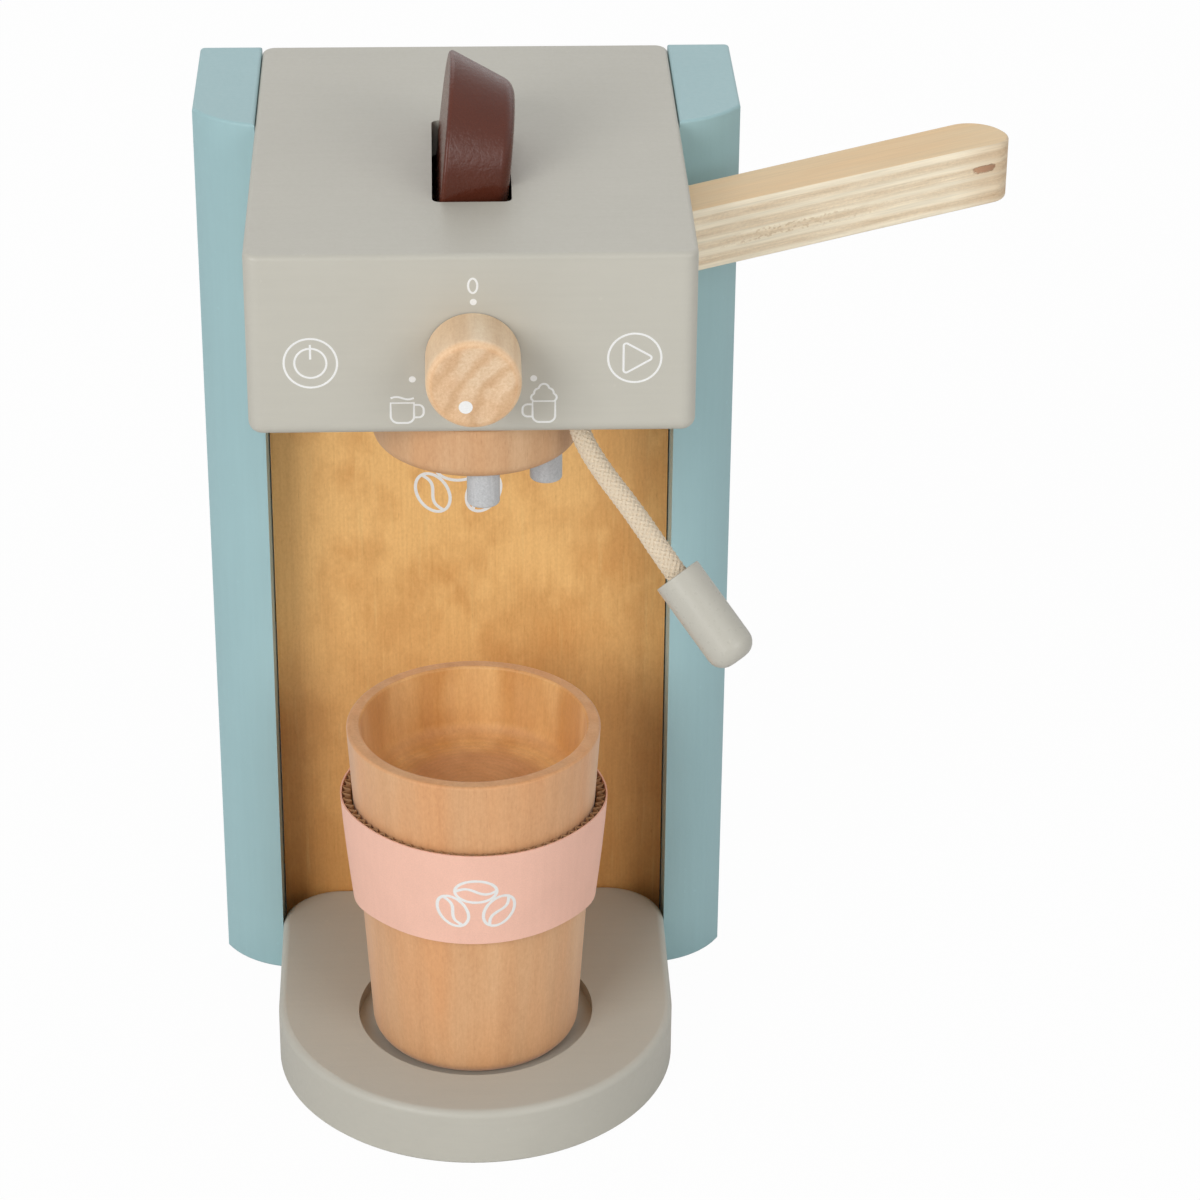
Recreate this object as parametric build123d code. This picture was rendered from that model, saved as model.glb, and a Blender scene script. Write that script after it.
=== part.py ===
from build123d import *
from math import acos, cos, pi, radians, sin, sqrt, tan
import os

# Wooden toy coffee maker: case, swinging portafilter, dial, capsule, cup with sleeve, rope frother.
#
# Millimetres. The origin is on the ground, midway between the side boards and about midway
# between the base's front and their backs. +X is to the right, +Y to the back and +Z up. The dial
# faces -Y.

# ---------------------------------------------------------------- driving dimensions
# case
overall_height = 250.0
origin_to_back = 74.15
head_width = 105.0
head_overhang = 82.4
base_overhang = 9.9
side_board_thickness = 16.0
side_board_depth = 54.9
side_board_sweep = 11.4
side_board_front_radius = 24.0
side_board_corner_radius = 1.3
board_gap = 0.15
easing = 0.8

# head box
top_thickness = 9.0
front_thickness = 7.0
floor_thickness = 10.2
wall_thickness = 9.0
head_corner_radius = 3.5
head_bottom_radius = 3.0
head_easing = 1.2

# back panel and base
panel_thickness = 8.0
panel_setback = 15.1
panel_gap = 0.35
base_gap = 0.1
base_thickness = 16.2
base_rear_radius = 16.0
base_easing = 2.0
recess_clearance = 4.1
recess_depth = 3.4
recess_margin = 16.8

# capsule, its slot and what carries it inside the head
slot_offset = 0.6
slot_side_gap = 2.5
slot_end_gap = 0.2
slot_corner_radius = 2.0
capsule_radius = 26.1
capsule_taper = 6.9
capsule_length = 16.5
capsule_rounding = 4.2
capsule_rim_easing = 0.9
capsule_tilt = 6.1
capsule_rise = 1.0
capsule_face_gap = 2.0
capsule_handle_gap = 1.5
guide_thickness = 4.0
guide_handle_gap = 2.5
shelf_gap = 0.2
shelf_margin = 1.0
shelf_depth = 27.0

# dial
knob_radius = 11.1
knob_length = 16.4
knob_gap = 0.3
knob_easing = 1.5
knob_offset = 0.25
knob_axle_radius = 4.0
knob_axle_depth = 10.0
knob_washer_radius = 8.0
knob_washer_thickness = 1.5
knob_washer_gap = 0.3
knob_washer_rise = 2.2

# portafilter
pivot_offset = 1.15
swing_rest = 28.7
swing_travel = 33.0
bowl_radius = 25.2
bowl_thickness = 13.3
bowl_floor = 4.3
bowl_gap = 0.4
bowl_rounding = 3.5
swing_axle_radius = 4.0
hub_radius = 12.0
hub_thickness = 9.0
hub_gap = 0.3
hub_screw_gap = 5.1
handle_thickness = 16.2
handle_length = 153.2
handle_root_width = 14.3
handle_tip_width = 17.0
handle_front_radius = 6.6
handle_tip_flat = 1.5
handle_easing = 0.9
handle_top_gap = 1.1
handle_cover = 4.4
notch_clearance = 2.0
notch_floor_gap = 0.3
spout_radius = 3.95
spout_margin = 0.35
spout_reach = 9.4
spout_socket = 6.0
spout_easing = 0.6
spout_bearing = -50.0
spout_spread = 35.2

# cup and sleeve
cup_rim_radius = 32.6
cup_foot_radius = 27.0
cup_height = 91.3
cup_wall = 3.6
cup_depth = 20.0
cup_cove_radius = 5.0
cup_foot_rounding = 4.0
cup_rim_easing = 0.8
sleeve_bottom = 43.6
sleeve_height = 28.0
sleeve_clearance = 0.3
fluting_thickness = 1.2
paper_thickness = 0.4
crease_reach = 0.6
crease_flare = 1.2

# rope frother
rope_radius = 2.75
rope_socket_gap = 0.05
nozzle_radius = 5.95
nozzle_length = 25.0
nozzle_rounding = 4.0
nozzle_bore_gap = 0.35
nozzle_bore_depth = 10.0

# fasteners
dowel_radius = 2.5
dowel_panel_depth = 12.0
dowel_cover = 6.35
dowel_margin = 25.0
dowel_rows = 3
screw_radius = 1.6
screw_head_radius = 3.5
screw_head_height = 2.4
wall_screw_cover = 5.15
wall_screw_pitch = 20.0
base_screw_length = 30.0
base_screw_pitch = 30.0
knob_screw_length = 12.0
screw_head_easing = 0.8
slot_recess_width = 0.9
slot_recess_depth = 1.0
fit_gap = 0.05

# how far a cutting solid runs past the face that it opens, and how near two places count as one
overshoot = 1.0
tolerance = 0.001

# ---------------------------------------------------------------- places that follow from them
back_y = origin_to_back
front_y = back_y - side_board_depth - head_overhang - base_overhang
board_inner_front_y = back_y - side_board_depth
board_outer_front_y = board_inner_front_y + side_board_sweep
panel_front_y = board_inner_front_y + panel_setback
panel_back_y = panel_front_y + panel_thickness
head_front_y = board_inner_front_y - head_overhang
wall_front_y = head_front_y + front_thickness
wall_back_y = back_y - wall_thickness

wall_inner_x = head_width / 2 - wall_thickness
board_inner_x = head_width / 2 + board_gap
board_outer_x = board_inner_x + side_board_thickness

head_top_z = overall_height - top_thickness
handle_top_z = head_top_z - handle_top_gap
handle_bottom_z = handle_top_z - handle_thickness
head_floor_z = handle_bottom_z - hub_thickness - hub_gap
head_bottom_z = head_floor_z - floor_thickness
bowl_top_z = head_bottom_z - bowl_gap
bowl_bottom_z = bowl_top_z - bowl_thickness

knob_back_y = head_front_y - knob_gap
knob_z = head_floor_z + knob_washer_radius + knob_washer_rise
washer_front_y = wall_front_y + knob_washer_gap
knob_screw_y = washer_front_y + knob_washer_thickness
pivot_y = knob_screw_y + screw_head_height + hub_screw_gap + hub_radius
spout_circle = bowl_radius - bowl_rounding - spout_margin - spout_radius

recess_radius = cup_foot_radius + recess_clearance
cup_y = front_y + recess_margin + recess_radius
cup_z = base_thickness - recess_depth

# The capsule stands clear of the handle's back edge, at the height of the handle's top.
capsule_small_radius = capsule_radius - capsule_taper
capsule_mean_radius = (capsule_radius + capsule_small_radius) / 2
capsule_z = overall_height + capsule_rise
capsule_half_chord = sqrt(max(capsule_mean_radius**2 - (capsule_z - handle_top_z)**2, 0.0))
handle_to_capsule = (handle_root_width / 2 + capsule_handle_gap) / cos(radians(swing_rest))
slot_width = capsule_length + slot_side_gap
slot_length = 2 * (capsule_radius + slot_end_gap)
slot_y = pivot_y + handle_to_capsule + capsule_half_chord
slot_back_y = slot_y + slot_length / 2
capsule_x = slot_offset - slot_width / 2 + capsule_face_gap
shelf_top_z = capsule_z - capsule_radius * cos(radians(capsule_tilt)) - shelf_gap
shelf_left_x = capsule_x - capsule_radius * sin(radians(capsule_tilt)) - shelf_margin
shelf_right_x = slot_offset + slot_width / 2

# The rope: a chosen route from its socket in the head's floor to the bottom of the nozzle's bore.
rope_points = [
    (23.2, -51.35, 210.1),
    (25.6, -53.25, 201.1),
    (30.0, -56.65, 192.8),
    (38.7, -62.95, 183.0),
    (46.7, -69.75, 172.4),
    (54.1, -75.1, 163.4),
]


# ---------------------------------------------------------------- helpers
def block(x0, x1, y0, y1, z0, z1):
    """A box between two corners."""
    centre = ((x0 + x1) / 2, (y0 + y1) / 2, (z0 + z1) / 2)
    return Pos(*centre) * Box(x1 - x0, y1 - y0, z1 - z0)


def post(radius, height):
    """An upright cylinder that stands on the origin."""
    return Cylinder(radius, height, align=(Align.CENTER, Align.CENTER, Align.MIN))


def rod(radius, start, end):
    """A round bar between two points."""
    axis = Vector(*end) - Vector(*start)
    plane = Plane(origin=start, z_dir=axis)
    return plane * post(radius, axis.length)


def outer_edges(shape, axis, sign):
    """The straight edges along an axis that lie on the far +Y or -Y side."""
    return shape.edges().filter_by(axis).group_by(Axis.Y)[-1 if sign > 0 else 0]


def off_plane(edges, plane_y):
    """The edges that don't lie wholly in the upright plane at a given Y."""
    def lies_in(edge):
        box = edge.bounding_box()
        return abs(box.min.Y - plane_y) < tolerance and abs(box.max.Y - plane_y) < tolerance
    return edges.filter_by(lambda edge: not lies_in(edge))


def screw(tip, head):
    """A pan-head screw: shank from its tip to the underside of its head, with a driver slot."""
    shank = rod(screw_radius, tip, head)
    axis = (Vector(*head) - Vector(*tip)).normalized()
    cap = post(screw_head_radius, screw_head_height)
    cap = fillet(cap.edges().group_by(Axis.Z)[-1], screw_head_easing)
    reach = screw_head_radius + overshoot
    half = slot_recess_width / 2
    slot_bottom = screw_head_height - slot_recess_depth
    cap -= block(-reach, reach, -half, half, slot_bottom, screw_head_height + overshoot)
    return shank + Plane(origin=head, z_dir=axis) * cap


def solid_of(shape):
    """The single solid in a shape."""
    solids = shape.solids()
    assert len(solids) == 1, f"expected one solid, found {len(solids)}"
    return solids[0]


# ---------------------------------------------------------------- fasteners' places
def panel_dowel_ends():
    """Start, in the panel, and end, in a side board, of each dowel that carries the back panel."""
    middle_y = (panel_front_y + panel_back_y) / 2
    inner_x = board_inner_x - panel_gap - dowel_panel_depth
    outer_x = board_outer_x - dowel_cover
    span = head_bottom_z - 2 * dowel_margin
    ends = []
    for side in (-1, 1):
        for row in range(dowel_rows):
            z = dowel_margin + span * row / (dowel_rows - 1)
            ends.append(((side * inner_x, middle_y, z), (side * outer_x, middle_y, z)))
    return ends


def wall_screw_ends():
    """Tip, in a side board, and head seat, inside the head, of each screw that holds the head."""
    middle_y = (board_outer_front_y + wall_back_y) / 2
    tip_x = board_outer_x - wall_screw_cover
    z = (head_floor_z + head_top_z) / 2
    ends = []
    for side in (-1, 1):
        for step in (-0.5, 0.5):
            y = middle_y + step * wall_screw_pitch
            ends.append(((side * tip_x, y, z), (side * wall_inner_x, y, z)))
    return ends


def base_screw_ends():
    """Tip, in the base, and head seat, on the panel's back, of each screw that holds the base."""
    tip_y = panel_back_y - base_screw_length
    z = base_thickness / 2
    ends = []
    for step in (-1, 0, 1):
        x = step * base_screw_pitch
        ends.append(((x, tip_y, z), (x, panel_back_y, z)))
    return ends


def knob_screw_ends():
    """Tip, in the dial's axle, and head seat, on the washer inside the head."""
    tip_y = knob_screw_y - knob_screw_length
    return (knob_offset, tip_y, knob_z), (knob_offset, knob_screw_y, knob_z)


def drill(shape, ends, radius):
    """Holes along each pair of ends, with the running gap of a glued or driven fastener."""
    for start, end in ends:
        shape -= rod(radius + fit_gap, start, end)
    return shape


# ---------------------------------------------------------------- case
def side_board(side):
    """One upright board, with its front face curved back towards the outside."""
    inner_front = (board_inner_x, board_inner_front_y)
    outer_front = (board_outer_x, board_outer_front_y)
    outline = [
        Line((board_inner_x, back_y), inner_front),
        RadiusArc(inner_front, outer_front, -side_board_front_radius),
        Line(outer_front, (board_outer_x, back_y)),
        Line((board_outer_x, back_y), (board_inner_x, back_y)),
    ]
    board = extrude(make_face(outline), overall_height)
    rear = board.edges().filter_by(Axis.Z).sort_by(lambda edge: -edge.center().X - edge.center().Y)
    board = fillet(rear[0], side_board_corner_radius)
    rims = board.edges().group_by(Axis.Z)[-1] + board.edges().group_by(Axis.Z)[0]
    board = fillet(rims, easing)
    if side < 0:
        board = mirror(board, Plane.YZ)
    board = drill(board, panel_dowel_ends(), dowel_radius)
    return drill(board, wall_screw_ends(), screw_radius)


def back_panel():
    """The plywood panel between the side boards, under the head."""
    half = board_inner_x - panel_gap
    panel = block(-half, half, panel_front_y, panel_back_y, 0, head_bottom_z)
    panel = drill(panel, panel_dowel_ends(), dowel_radius)
    return drill(panel, base_screw_ends(), screw_radius)


def base():
    """The foot board: straight sides, a half-round front and the round recess for the cup."""
    half = board_inner_x - base_gap
    centre_y = front_y + half
    outline = [
        Line((-half, centre_y), (-half, panel_front_y)),
        Line((-half, panel_front_y), (half, panel_front_y)),
        Line((half, panel_front_y), (half, centre_y)),
        RadiusArc((half, centre_y), (-half, centre_y), half),
    ]
    board = extrude(make_face(outline), base_thickness)
    board = fillet(outer_edges(board, Axis.Z, 1), base_rear_radius)
    board = fillet(off_plane(board.edges().group_by(Axis.Z)[-1], panel_front_y), base_easing)
    board = chamfer(off_plane(board.edges().group_by(Axis.Z)[0], panel_front_y), easing)
    board -= Pos(0, cup_y, cup_z) * post(recess_radius, base_thickness)
    return drill(board, base_screw_ends(), screw_radius)


# ---------------------------------------------------------------- head box
def head_top_board():
    """The head's lid, with the slot for the capsule."""
    half = head_width / 2
    board = block(-half, half, head_front_y, back_y, head_top_z, overall_height)
    board = fillet(board.edges().filter_by(Axis.Z), head_corner_radius)
    board = fillet(board.edges().group_by(Axis.Z)[-1], head_easing)
    slot = block(
        slot_offset - slot_width / 2,
        shelf_right_x,
        slot_y - slot_length / 2,
        slot_back_y,
        head_top_z - overshoot,
        overall_height + overshoot,
    )
    return board - fillet(slot.edges().filter_by(Axis.Z), slot_corner_radius)


def rounded_face(board, sign):
    """Round the upright and lower outer edges of the head's front or back board."""
    board = fillet(outer_edges(board, Axis.Z, sign), head_corner_radius)
    inner_y = wall_front_y if sign < 0 else wall_back_y
    return fillet(off_plane(board.edges().group_by(Axis.Z)[0], inner_y), head_bottom_radius)


def head_front_board():
    """The board that carries the dial."""
    half = head_width / 2
    board = block(-half, half, head_front_y, wall_front_y, head_bottom_z, head_top_z)
    board = rounded_face(board, -1)
    outside = (knob_offset, head_front_y - overshoot, knob_z)
    inside = (knob_offset, wall_front_y + overshoot, knob_z)
    return board - rod(knob_axle_radius + fit_gap, outside, inside)


def head_back_board():
    """The board that closes the head at the back."""
    half = head_width / 2
    board = block(-half, half, wall_back_y, back_y, head_bottom_z, head_top_z)
    return rounded_face(board, 1)


def head_wall(side):
    """A side wall of the head. The right one is notched for the handle's swing."""
    wall = block(wall_inner_x, head_width / 2, wall_front_y, wall_back_y, head_bottom_z, head_top_z)
    lower = wall.edges().filter_by(Axis.Y).group_by(Axis.Z)[0].sort_by(Axis.X)[-1]
    wall = fillet(lower, head_bottom_radius)
    if side < 0:
        return drill(mirror(wall, Plane.YZ), wall_screw_ends(), screw_radius)
    wall -= block(
        wall_inner_x - overshoot,
        head_width / 2 + overshoot,
        handle_edge_y(head_width / 2, swing_rest - swing_travel, -1) - notch_clearance,
        handle_edge_y(head_width / 2, swing_rest, 1) + notch_clearance,
        handle_bottom_z - notch_floor_gap,
        head_top_z + overshoot,
    )
    return drill(wall, wall_screw_ends(), screw_radius)


def handle_edge_y(x, angle, side):
    """Where the handle's back (1) or front (-1) edge passes a given X at an angle of its swing."""
    reach = (x - pivot_offset) / cos(radians(angle))
    width = handle_root_width + (handle_tip_width - handle_root_width) * reach / handle_length
    return pivot_y + reach * sin(radians(angle)) + side * width / 2 / cos(radians(angle))


def head_bottom_board():
    """The head's floor, drilled for the portafilter's axle and the rope."""
    board = block(
        -wall_inner_x, wall_inner_x, wall_front_y, wall_back_y, head_bottom_z, head_floor_z
    )
    board -= rod(
        swing_axle_radius + fit_gap,
        (pivot_offset, pivot_y, head_bottom_z - overshoot),
        (pivot_offset, pivot_y, head_floor_z + overshoot),
    )
    return board - rod(rope_radius + rope_socket_gap, rope_points[0], rope_points[1])


# ---------------------------------------------------------------- inside the head
def capsule_shelf():
    """The block that the capsule stands on, behind the handle and its hub."""
    handle_y = handle_edge_y(shelf_right_x, swing_rest, 1)
    front = max(handle_y, pivot_y + hub_radius) + guide_handle_gap
    return block(shelf_left_x, shelf_right_x, front, front + shelf_depth, head_floor_z, shelf_top_z)


def capsule_left_guide():
    """The thin board left of the capsule, from the head's floor to its lid, behind the hub."""
    left = shelf_left_x - guide_thickness
    front = pivot_y + hub_radius + guide_handle_gap
    return block(left, shelf_left_x, front, slot_back_y, head_floor_z, head_top_z)


def capsule_right_guide():
    """The thin board right of the capsule, behind the handle."""
    right = shelf_right_x + guide_thickness
    front = handle_edge_y(right, swing_rest, 1) + guide_handle_gap
    return block(shelf_right_x, right, front, slot_back_y, head_floor_z, head_top_z)


def capsule():
    """The coffee capsule: a cone with a flat broad face and a rounded small end, leaning right."""
    solid = loft([Circle(capsule_radius), Pos(0, 0, capsule_length) * Circle(capsule_small_radius)])
    solid = fillet(solid.edges().group_by(Axis.Z)[-1], capsule_rounding)
    solid = fillet(solid.edges().group_by(Axis.Z)[0], capsule_rim_easing)
    return Pos(capsule_x, slot_y, capsule_z) * Rot(0, 90 + capsule_tilt, 0) * solid


# ---------------------------------------------------------------- dial
def knob():
    """The dial's round wooden grip, bored from behind for its axle."""
    grip = post(knob_radius, knob_length)
    grip = fillet(grip.edges().group_by(Axis.Z)[-1], knob_easing)
    grip -= post(knob_axle_radius, knob_axle_depth)
    return Pos(knob_offset, knob_back_y, knob_z) * Rot(90, 0, 0) * grip


def knob_axle():
    """The dowel that turns in the front board, glued into the knob."""
    start = (knob_offset, washer_front_y, knob_z)
    end = (knob_offset, knob_back_y - knob_axle_depth, knob_z)
    return drill(rod(knob_axle_radius, start, end), [knob_screw_ends()], screw_radius)


def knob_washer():
    """The washer that keeps the axle in the front board."""
    start = (knob_offset, washer_front_y, knob_z)
    end = (knob_offset, knob_screw_y, knob_z)
    return drill(rod(knob_washer_radius, start, end), [knob_screw_ends()], screw_radius)


def knob_screw():
    """The screw that holds the washer on the axle."""
    return screw(*knob_screw_ends())


# ---------------------------------------------------------------- portafilter
def spout_place(index):
    """Where a spout's axis crosses the bowl's underside."""
    bearing = radians(spout_bearing + index * spout_spread)
    x = pivot_offset + spout_circle * cos(bearing)
    y = pivot_y + spout_circle * sin(bearing)
    return x, y


def portafilter_bowl():
    """The round wooden bowl under the head, rounded below, with sockets for axle and spouts."""
    bowl = post(bowl_radius, bowl_thickness)
    bowl = fillet(bowl.edges().group_by(Axis.Z)[0], bowl_rounding)
    bowl = fillet(bowl.edges().group_by(Axis.Z)[-1], easing)
    bowl = Pos(pivot_offset, pivot_y, bowl_bottom_z) * bowl
    bowl -= rod(
        swing_axle_radius,
        (pivot_offset, pivot_y, bowl_bottom_z + bowl_floor),
        (pivot_offset, pivot_y, bowl_top_z + overshoot),
    )
    for index in (-1, 1):
        x, y = spout_place(index)
        mouth = (x, y, bowl_bottom_z - overshoot)
        bowl -= rod(spout_radius, mouth, (x, y, bowl_bottom_z + spout_socket))
    return bowl


def portafilter_axle():
    """The dowel that joins bowl, hub and handle through the head's floor."""
    return rod(
        swing_axle_radius,
        (pivot_offset, pivot_y, bowl_bottom_z + bowl_floor),
        (pivot_offset, pivot_y, handle_top_z - handle_cover),
    )


def portafilter_hub():
    """The spacer ring that carries the handle above the head's floor."""
    bottom = (pivot_offset, pivot_y, head_floor_z + hub_gap)
    top = (pivot_offset, pivot_y, handle_bottom_z)
    return rod(hub_radius, bottom, top) - rod(swing_axle_radius, bottom, top)


def portafilter_handle():
    """The plywood handle: widening outwards, its tip rounded more at the back than at the front."""
    root = handle_root_width / 2
    tip = handle_tip_width / 2
    body = make_face(Polyline(
        (0, -root), (handle_length, -tip), (handle_length, tip), (0, root), close=True
    ))
    front_corner = body.vertices().group_by(Axis.X)[-1].sort_by(Axis.Y)[0]
    body = fillet(front_corner, handle_front_radius)
    back_corner = body.vertices().group_by(Axis.X)[-1].sort_by(Axis.Y)[-1]
    body = fillet(back_corner, handle_tip_width - handle_front_radius - handle_tip_flat)
    bar = extrude(body + Circle(root), handle_thickness)
    rims = bar.edges().group_by(Axis.Z)[-1] + bar.edges().group_by(Axis.Z)[0]
    bar = fillet(rims, handle_easing)
    bar -= post(swing_axle_radius, handle_thickness - handle_cover)
    return Pos(pivot_offset, pivot_y, handle_bottom_z) * Rot(0, 0, swing_rest) * bar


def spout(index):
    """One of the two dowels glued into the bowl's underside."""
    x, y = spout_place(index)
    end = (x, y, bowl_bottom_z - spout_reach)
    pipe = rod(spout_radius, end, (x, y, bowl_bottom_z + spout_socket))
    return fillet(pipe.edges().group_by(Axis.Z)[0], spout_easing)


# ---------------------------------------------------------------- cup and sleeve
def cup_radius(height):
    """The cup's outer radius at a height above its foot."""
    return cup_foot_radius + (cup_rim_radius - cup_foot_radius) * height / cup_height


def cup():
    """The turned wooden cup: a tapered body with a shallow, coved hollow."""
    body = loft([
        Circle(cup_foot_radius),
        Pos(0, 0, cup_height) * Circle(cup_rim_radius),
    ])
    body = fillet(body.edges().group_by(Axis.Z)[0], cup_foot_rounding)
    floor = cup_height - cup_depth
    mouth = cup_height + overshoot
    hollow = loft([
        Pos(0, 0, floor) * Circle(cup_radius(floor) - cup_wall),
        Pos(0, 0, mouth) * Circle(cup_radius(mouth) - cup_wall),
    ])
    hollow = fillet(hollow.edges().group_by(Axis.Z)[0], cup_cove_radius)
    body -= hollow
    body = fillet(body.edges().group_by(Axis.Z)[-1], cup_rim_easing)
    return Pos(0, cup_y, cup_z) * body


def sleeve_section(height, offset):
    """The sleeve's outline at a height: round at front and back, creased at left and right."""
    radius = cup_radius(height) + sleeve_clearance + offset
    rise = (height - sleeve_bottom) / sleeve_height
    reach = radius + crease_reach + crease_flare * rise
    angle = acos(radius / reach)
    across = radius * cos(angle)
    along = radius * sin(angle)
    face = make_face([
        Line((reach, 0), (across, along)),
        ThreePointArc((across, along), (0, radius), (-across, along)),
        Line((-across, along), (-reach, 0)),
        Line((-reach, 0), (-across, -along)),
        ThreePointArc((-across, -along), (0, -radius), (across, -along)),
        Line((across, -along), (reach, 0)),
    ])
    return Pos(0, cup_y, cup_z + height) * face


def sleeve_body(offset):
    """The solid inside one of the sleeve's surfaces."""
    top = sleeve_bottom + sleeve_height
    return loft([sleeve_section(sleeve_bottom, offset), sleeve_section(top, offset)], ruled=True)


def sleeve_fluting():
    """The corrugated layer next to the cup."""
    return sleeve_body(fluting_thickness) - sleeve_body(0)


def sleeve_paper():
    """The printed outer layer of the sleeve."""
    return sleeve_body(fluting_thickness + paper_thickness) - sleeve_body(fluting_thickness)


# ---------------------------------------------------------------- rope frother
def rope_radii():
    """The largest arc that the two runs at each corner of the route allow."""
    share = 0.45
    radii = []
    for before, corner, after in zip(rope_points, rope_points[1:], rope_points[2:]):
        first = Vector(*corner) - Vector(*before)
        second = Vector(*after) - Vector(*corner)
        turn = radians(first.get_angle(second))
        radii.append(share * min(first.length, second.length) / tan(turn / 2))
    return radii


def frother_rope():
    """The stiff cotton rope between its socket in the head and the nozzle."""
    radii = rope_radii()
    path = FilletPolyline(*rope_points, radius=radii)
    start = Plane(origin=path @ 0, z_dir=path % 0)
    rope = sweep(start * Circle(rope_radius), path=path)
    expected = pi * rope_radius**2 * path.length
    print("rope radii", [round(radius, 1) for radius in radii])
    print("rope length", round(path.length, 2), "volume ratio", round(rope.volume / expected, 4))
    return rope


def frother_nozzle():
    """The wooden nozzle on the rope's end, bored for the rope and rounded at its tip."""
    end = Vector(*rope_points[-1])
    axis = (end - Vector(*rope_points[-2])).normalized()
    nozzle = post(nozzle_radius, nozzle_length)
    nozzle = fillet(nozzle.edges().group_by(Axis.Z)[-1], nozzle_rounding)
    nozzle -= post(rope_radius + nozzle_bore_gap, nozzle_bore_depth)
    return Plane(origin=end - axis * nozzle_bore_depth, z_dir=axis) * nozzle


# ---------------------------------------------------------------- fastener groups
def panel_dowels():
    """The dowels between the back panel and the side boards."""
    return Compound([solid_of(rod(dowel_radius, *ends)) for ends in panel_dowel_ends()])


def head_screws():
    """The screws that hold the head between the side boards."""
    return Compound([solid_of(screw(*ends)) for ends in wall_screw_ends()])


def base_screws():
    """The screws that hold the base to the back panel."""
    return Compound([solid_of(screw(*ends)) for ends in base_screw_ends()])


# ---------------------------------------------------------------- parts
parts = {
    "left_side_board": side_board(-1),
    "right_side_board": side_board(1),
    "back_panel": back_panel(),
    "base": base(),
    "panel_dowels": panel_dowels(),
    "base_screws": base_screws(),
    "head_top_board": head_top_board(),
    "head_front_board": head_front_board(),
    "head_back_board": head_back_board(),
    "head_left_wall": head_wall(-1),
    "head_right_wall": head_wall(1),
    "head_bottom_board": head_bottom_board(),
    "head_screws": head_screws(),
    "capsule_shelf": capsule_shelf(),
    "capsule_left_guide": capsule_left_guide(),
    "capsule_right_guide": capsule_right_guide(),
    "capsule": capsule(),
    "knob": knob(),
    "knob_axle": knob_axle(),
    "knob_washer": knob_washer(),
    "knob_screw": knob_screw(),
    "portafilter_bowl": portafilter_bowl(),
    "portafilter_axle": portafilter_axle(),
    "portafilter_hub": portafilter_hub(),
    "portafilter_handle": portafilter_handle(),
    "spout_left": spout(-1),
    "spout_right": spout(1),
    "cup": cup(),
    "sleeve_fluting": sleeve_fluting(),
    "sleeve_paper": sleeve_paper(),
    "frother_rope": frother_rope(),
    "frother_nozzle": frother_nozzle(),
}

os.makedirs("parts", exist_ok=True)
for name, shape in parts.items():
    export_step(shape, f"parts/{name}.step")
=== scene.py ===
from math import atan2, cos, hypot, pi, radians, sin, tan

import bmesh
import bpy
from bpy.props import FloatProperty, FloatVectorProperty, IntProperty, PointerProperty
from mathutils import Matrix, Vector


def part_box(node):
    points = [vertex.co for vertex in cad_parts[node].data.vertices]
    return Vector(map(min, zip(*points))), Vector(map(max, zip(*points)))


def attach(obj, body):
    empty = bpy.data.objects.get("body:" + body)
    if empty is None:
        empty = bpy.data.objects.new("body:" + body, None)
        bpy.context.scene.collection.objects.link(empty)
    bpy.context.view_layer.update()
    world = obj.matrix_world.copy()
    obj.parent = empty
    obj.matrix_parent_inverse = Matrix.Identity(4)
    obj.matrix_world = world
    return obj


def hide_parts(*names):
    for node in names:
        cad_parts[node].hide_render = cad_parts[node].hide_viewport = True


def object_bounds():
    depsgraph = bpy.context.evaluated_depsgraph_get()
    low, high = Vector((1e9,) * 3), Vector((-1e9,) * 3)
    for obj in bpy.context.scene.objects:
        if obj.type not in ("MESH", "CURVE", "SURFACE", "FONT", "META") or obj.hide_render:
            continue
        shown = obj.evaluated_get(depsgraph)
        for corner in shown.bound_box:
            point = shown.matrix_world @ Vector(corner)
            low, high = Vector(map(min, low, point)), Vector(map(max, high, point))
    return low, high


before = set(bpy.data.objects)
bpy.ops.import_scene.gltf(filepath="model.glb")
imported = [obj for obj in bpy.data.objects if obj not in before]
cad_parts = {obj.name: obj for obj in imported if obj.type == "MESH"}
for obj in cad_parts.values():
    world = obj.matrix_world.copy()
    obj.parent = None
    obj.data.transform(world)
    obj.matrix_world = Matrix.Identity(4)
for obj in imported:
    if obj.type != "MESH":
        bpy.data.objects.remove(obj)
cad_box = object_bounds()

bl_info = {
    "name": "Toy coffee maker",
    "version": (1, 0, 0),
    "blender": (4, 5, 0),
    "location": "3D View > Sidebar > Coffee maker",
    "description": "Dresses a wooden toy coffee maker: paint, turned wood, card, rope and prints",
    "category": "Object",
}

# ---------------------------------------------------------------- lengths and fixed values
mm = 0.001
TURNED_STEPS = 96
FINE_STEPS = 128
SLIM_STEPS = 48
ROUND_SEGMENTS = 6
WELD = 0.001 * mm
SHARP_ANGLE = radians(38)
INK_THICKNESS = 0.06 * mm
Z_AXIS = Vector((0, 0, 1))

# the handle's plies, and how far it is turned from the X axis
HANDLE_PLIES = 9
HANDLE_TURN = radians(28.7)

# the places of the cup and of the sleeve round it
cup_low, cup_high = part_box("cup")
cup_axis = (cup_low + cup_high) / 2
cup_height = cup_high.z - cup_low.z
sleeve_low, sleeve_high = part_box("sleeve_paper")

# the rope's route, from its socket in the head's floor to the bottom of the nozzle's bore
ROPE_ROUTE_MM = [
    (23.2, -51.35, 210.1),
    (24.9, -53.25, 201.1),
    (29.7, -56.65, 192.8),
    (38.5, -62.95, 183.0),
    (46.7, -69.75, 172.4),
    (54.1, -75.1, 163.4),
]


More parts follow.
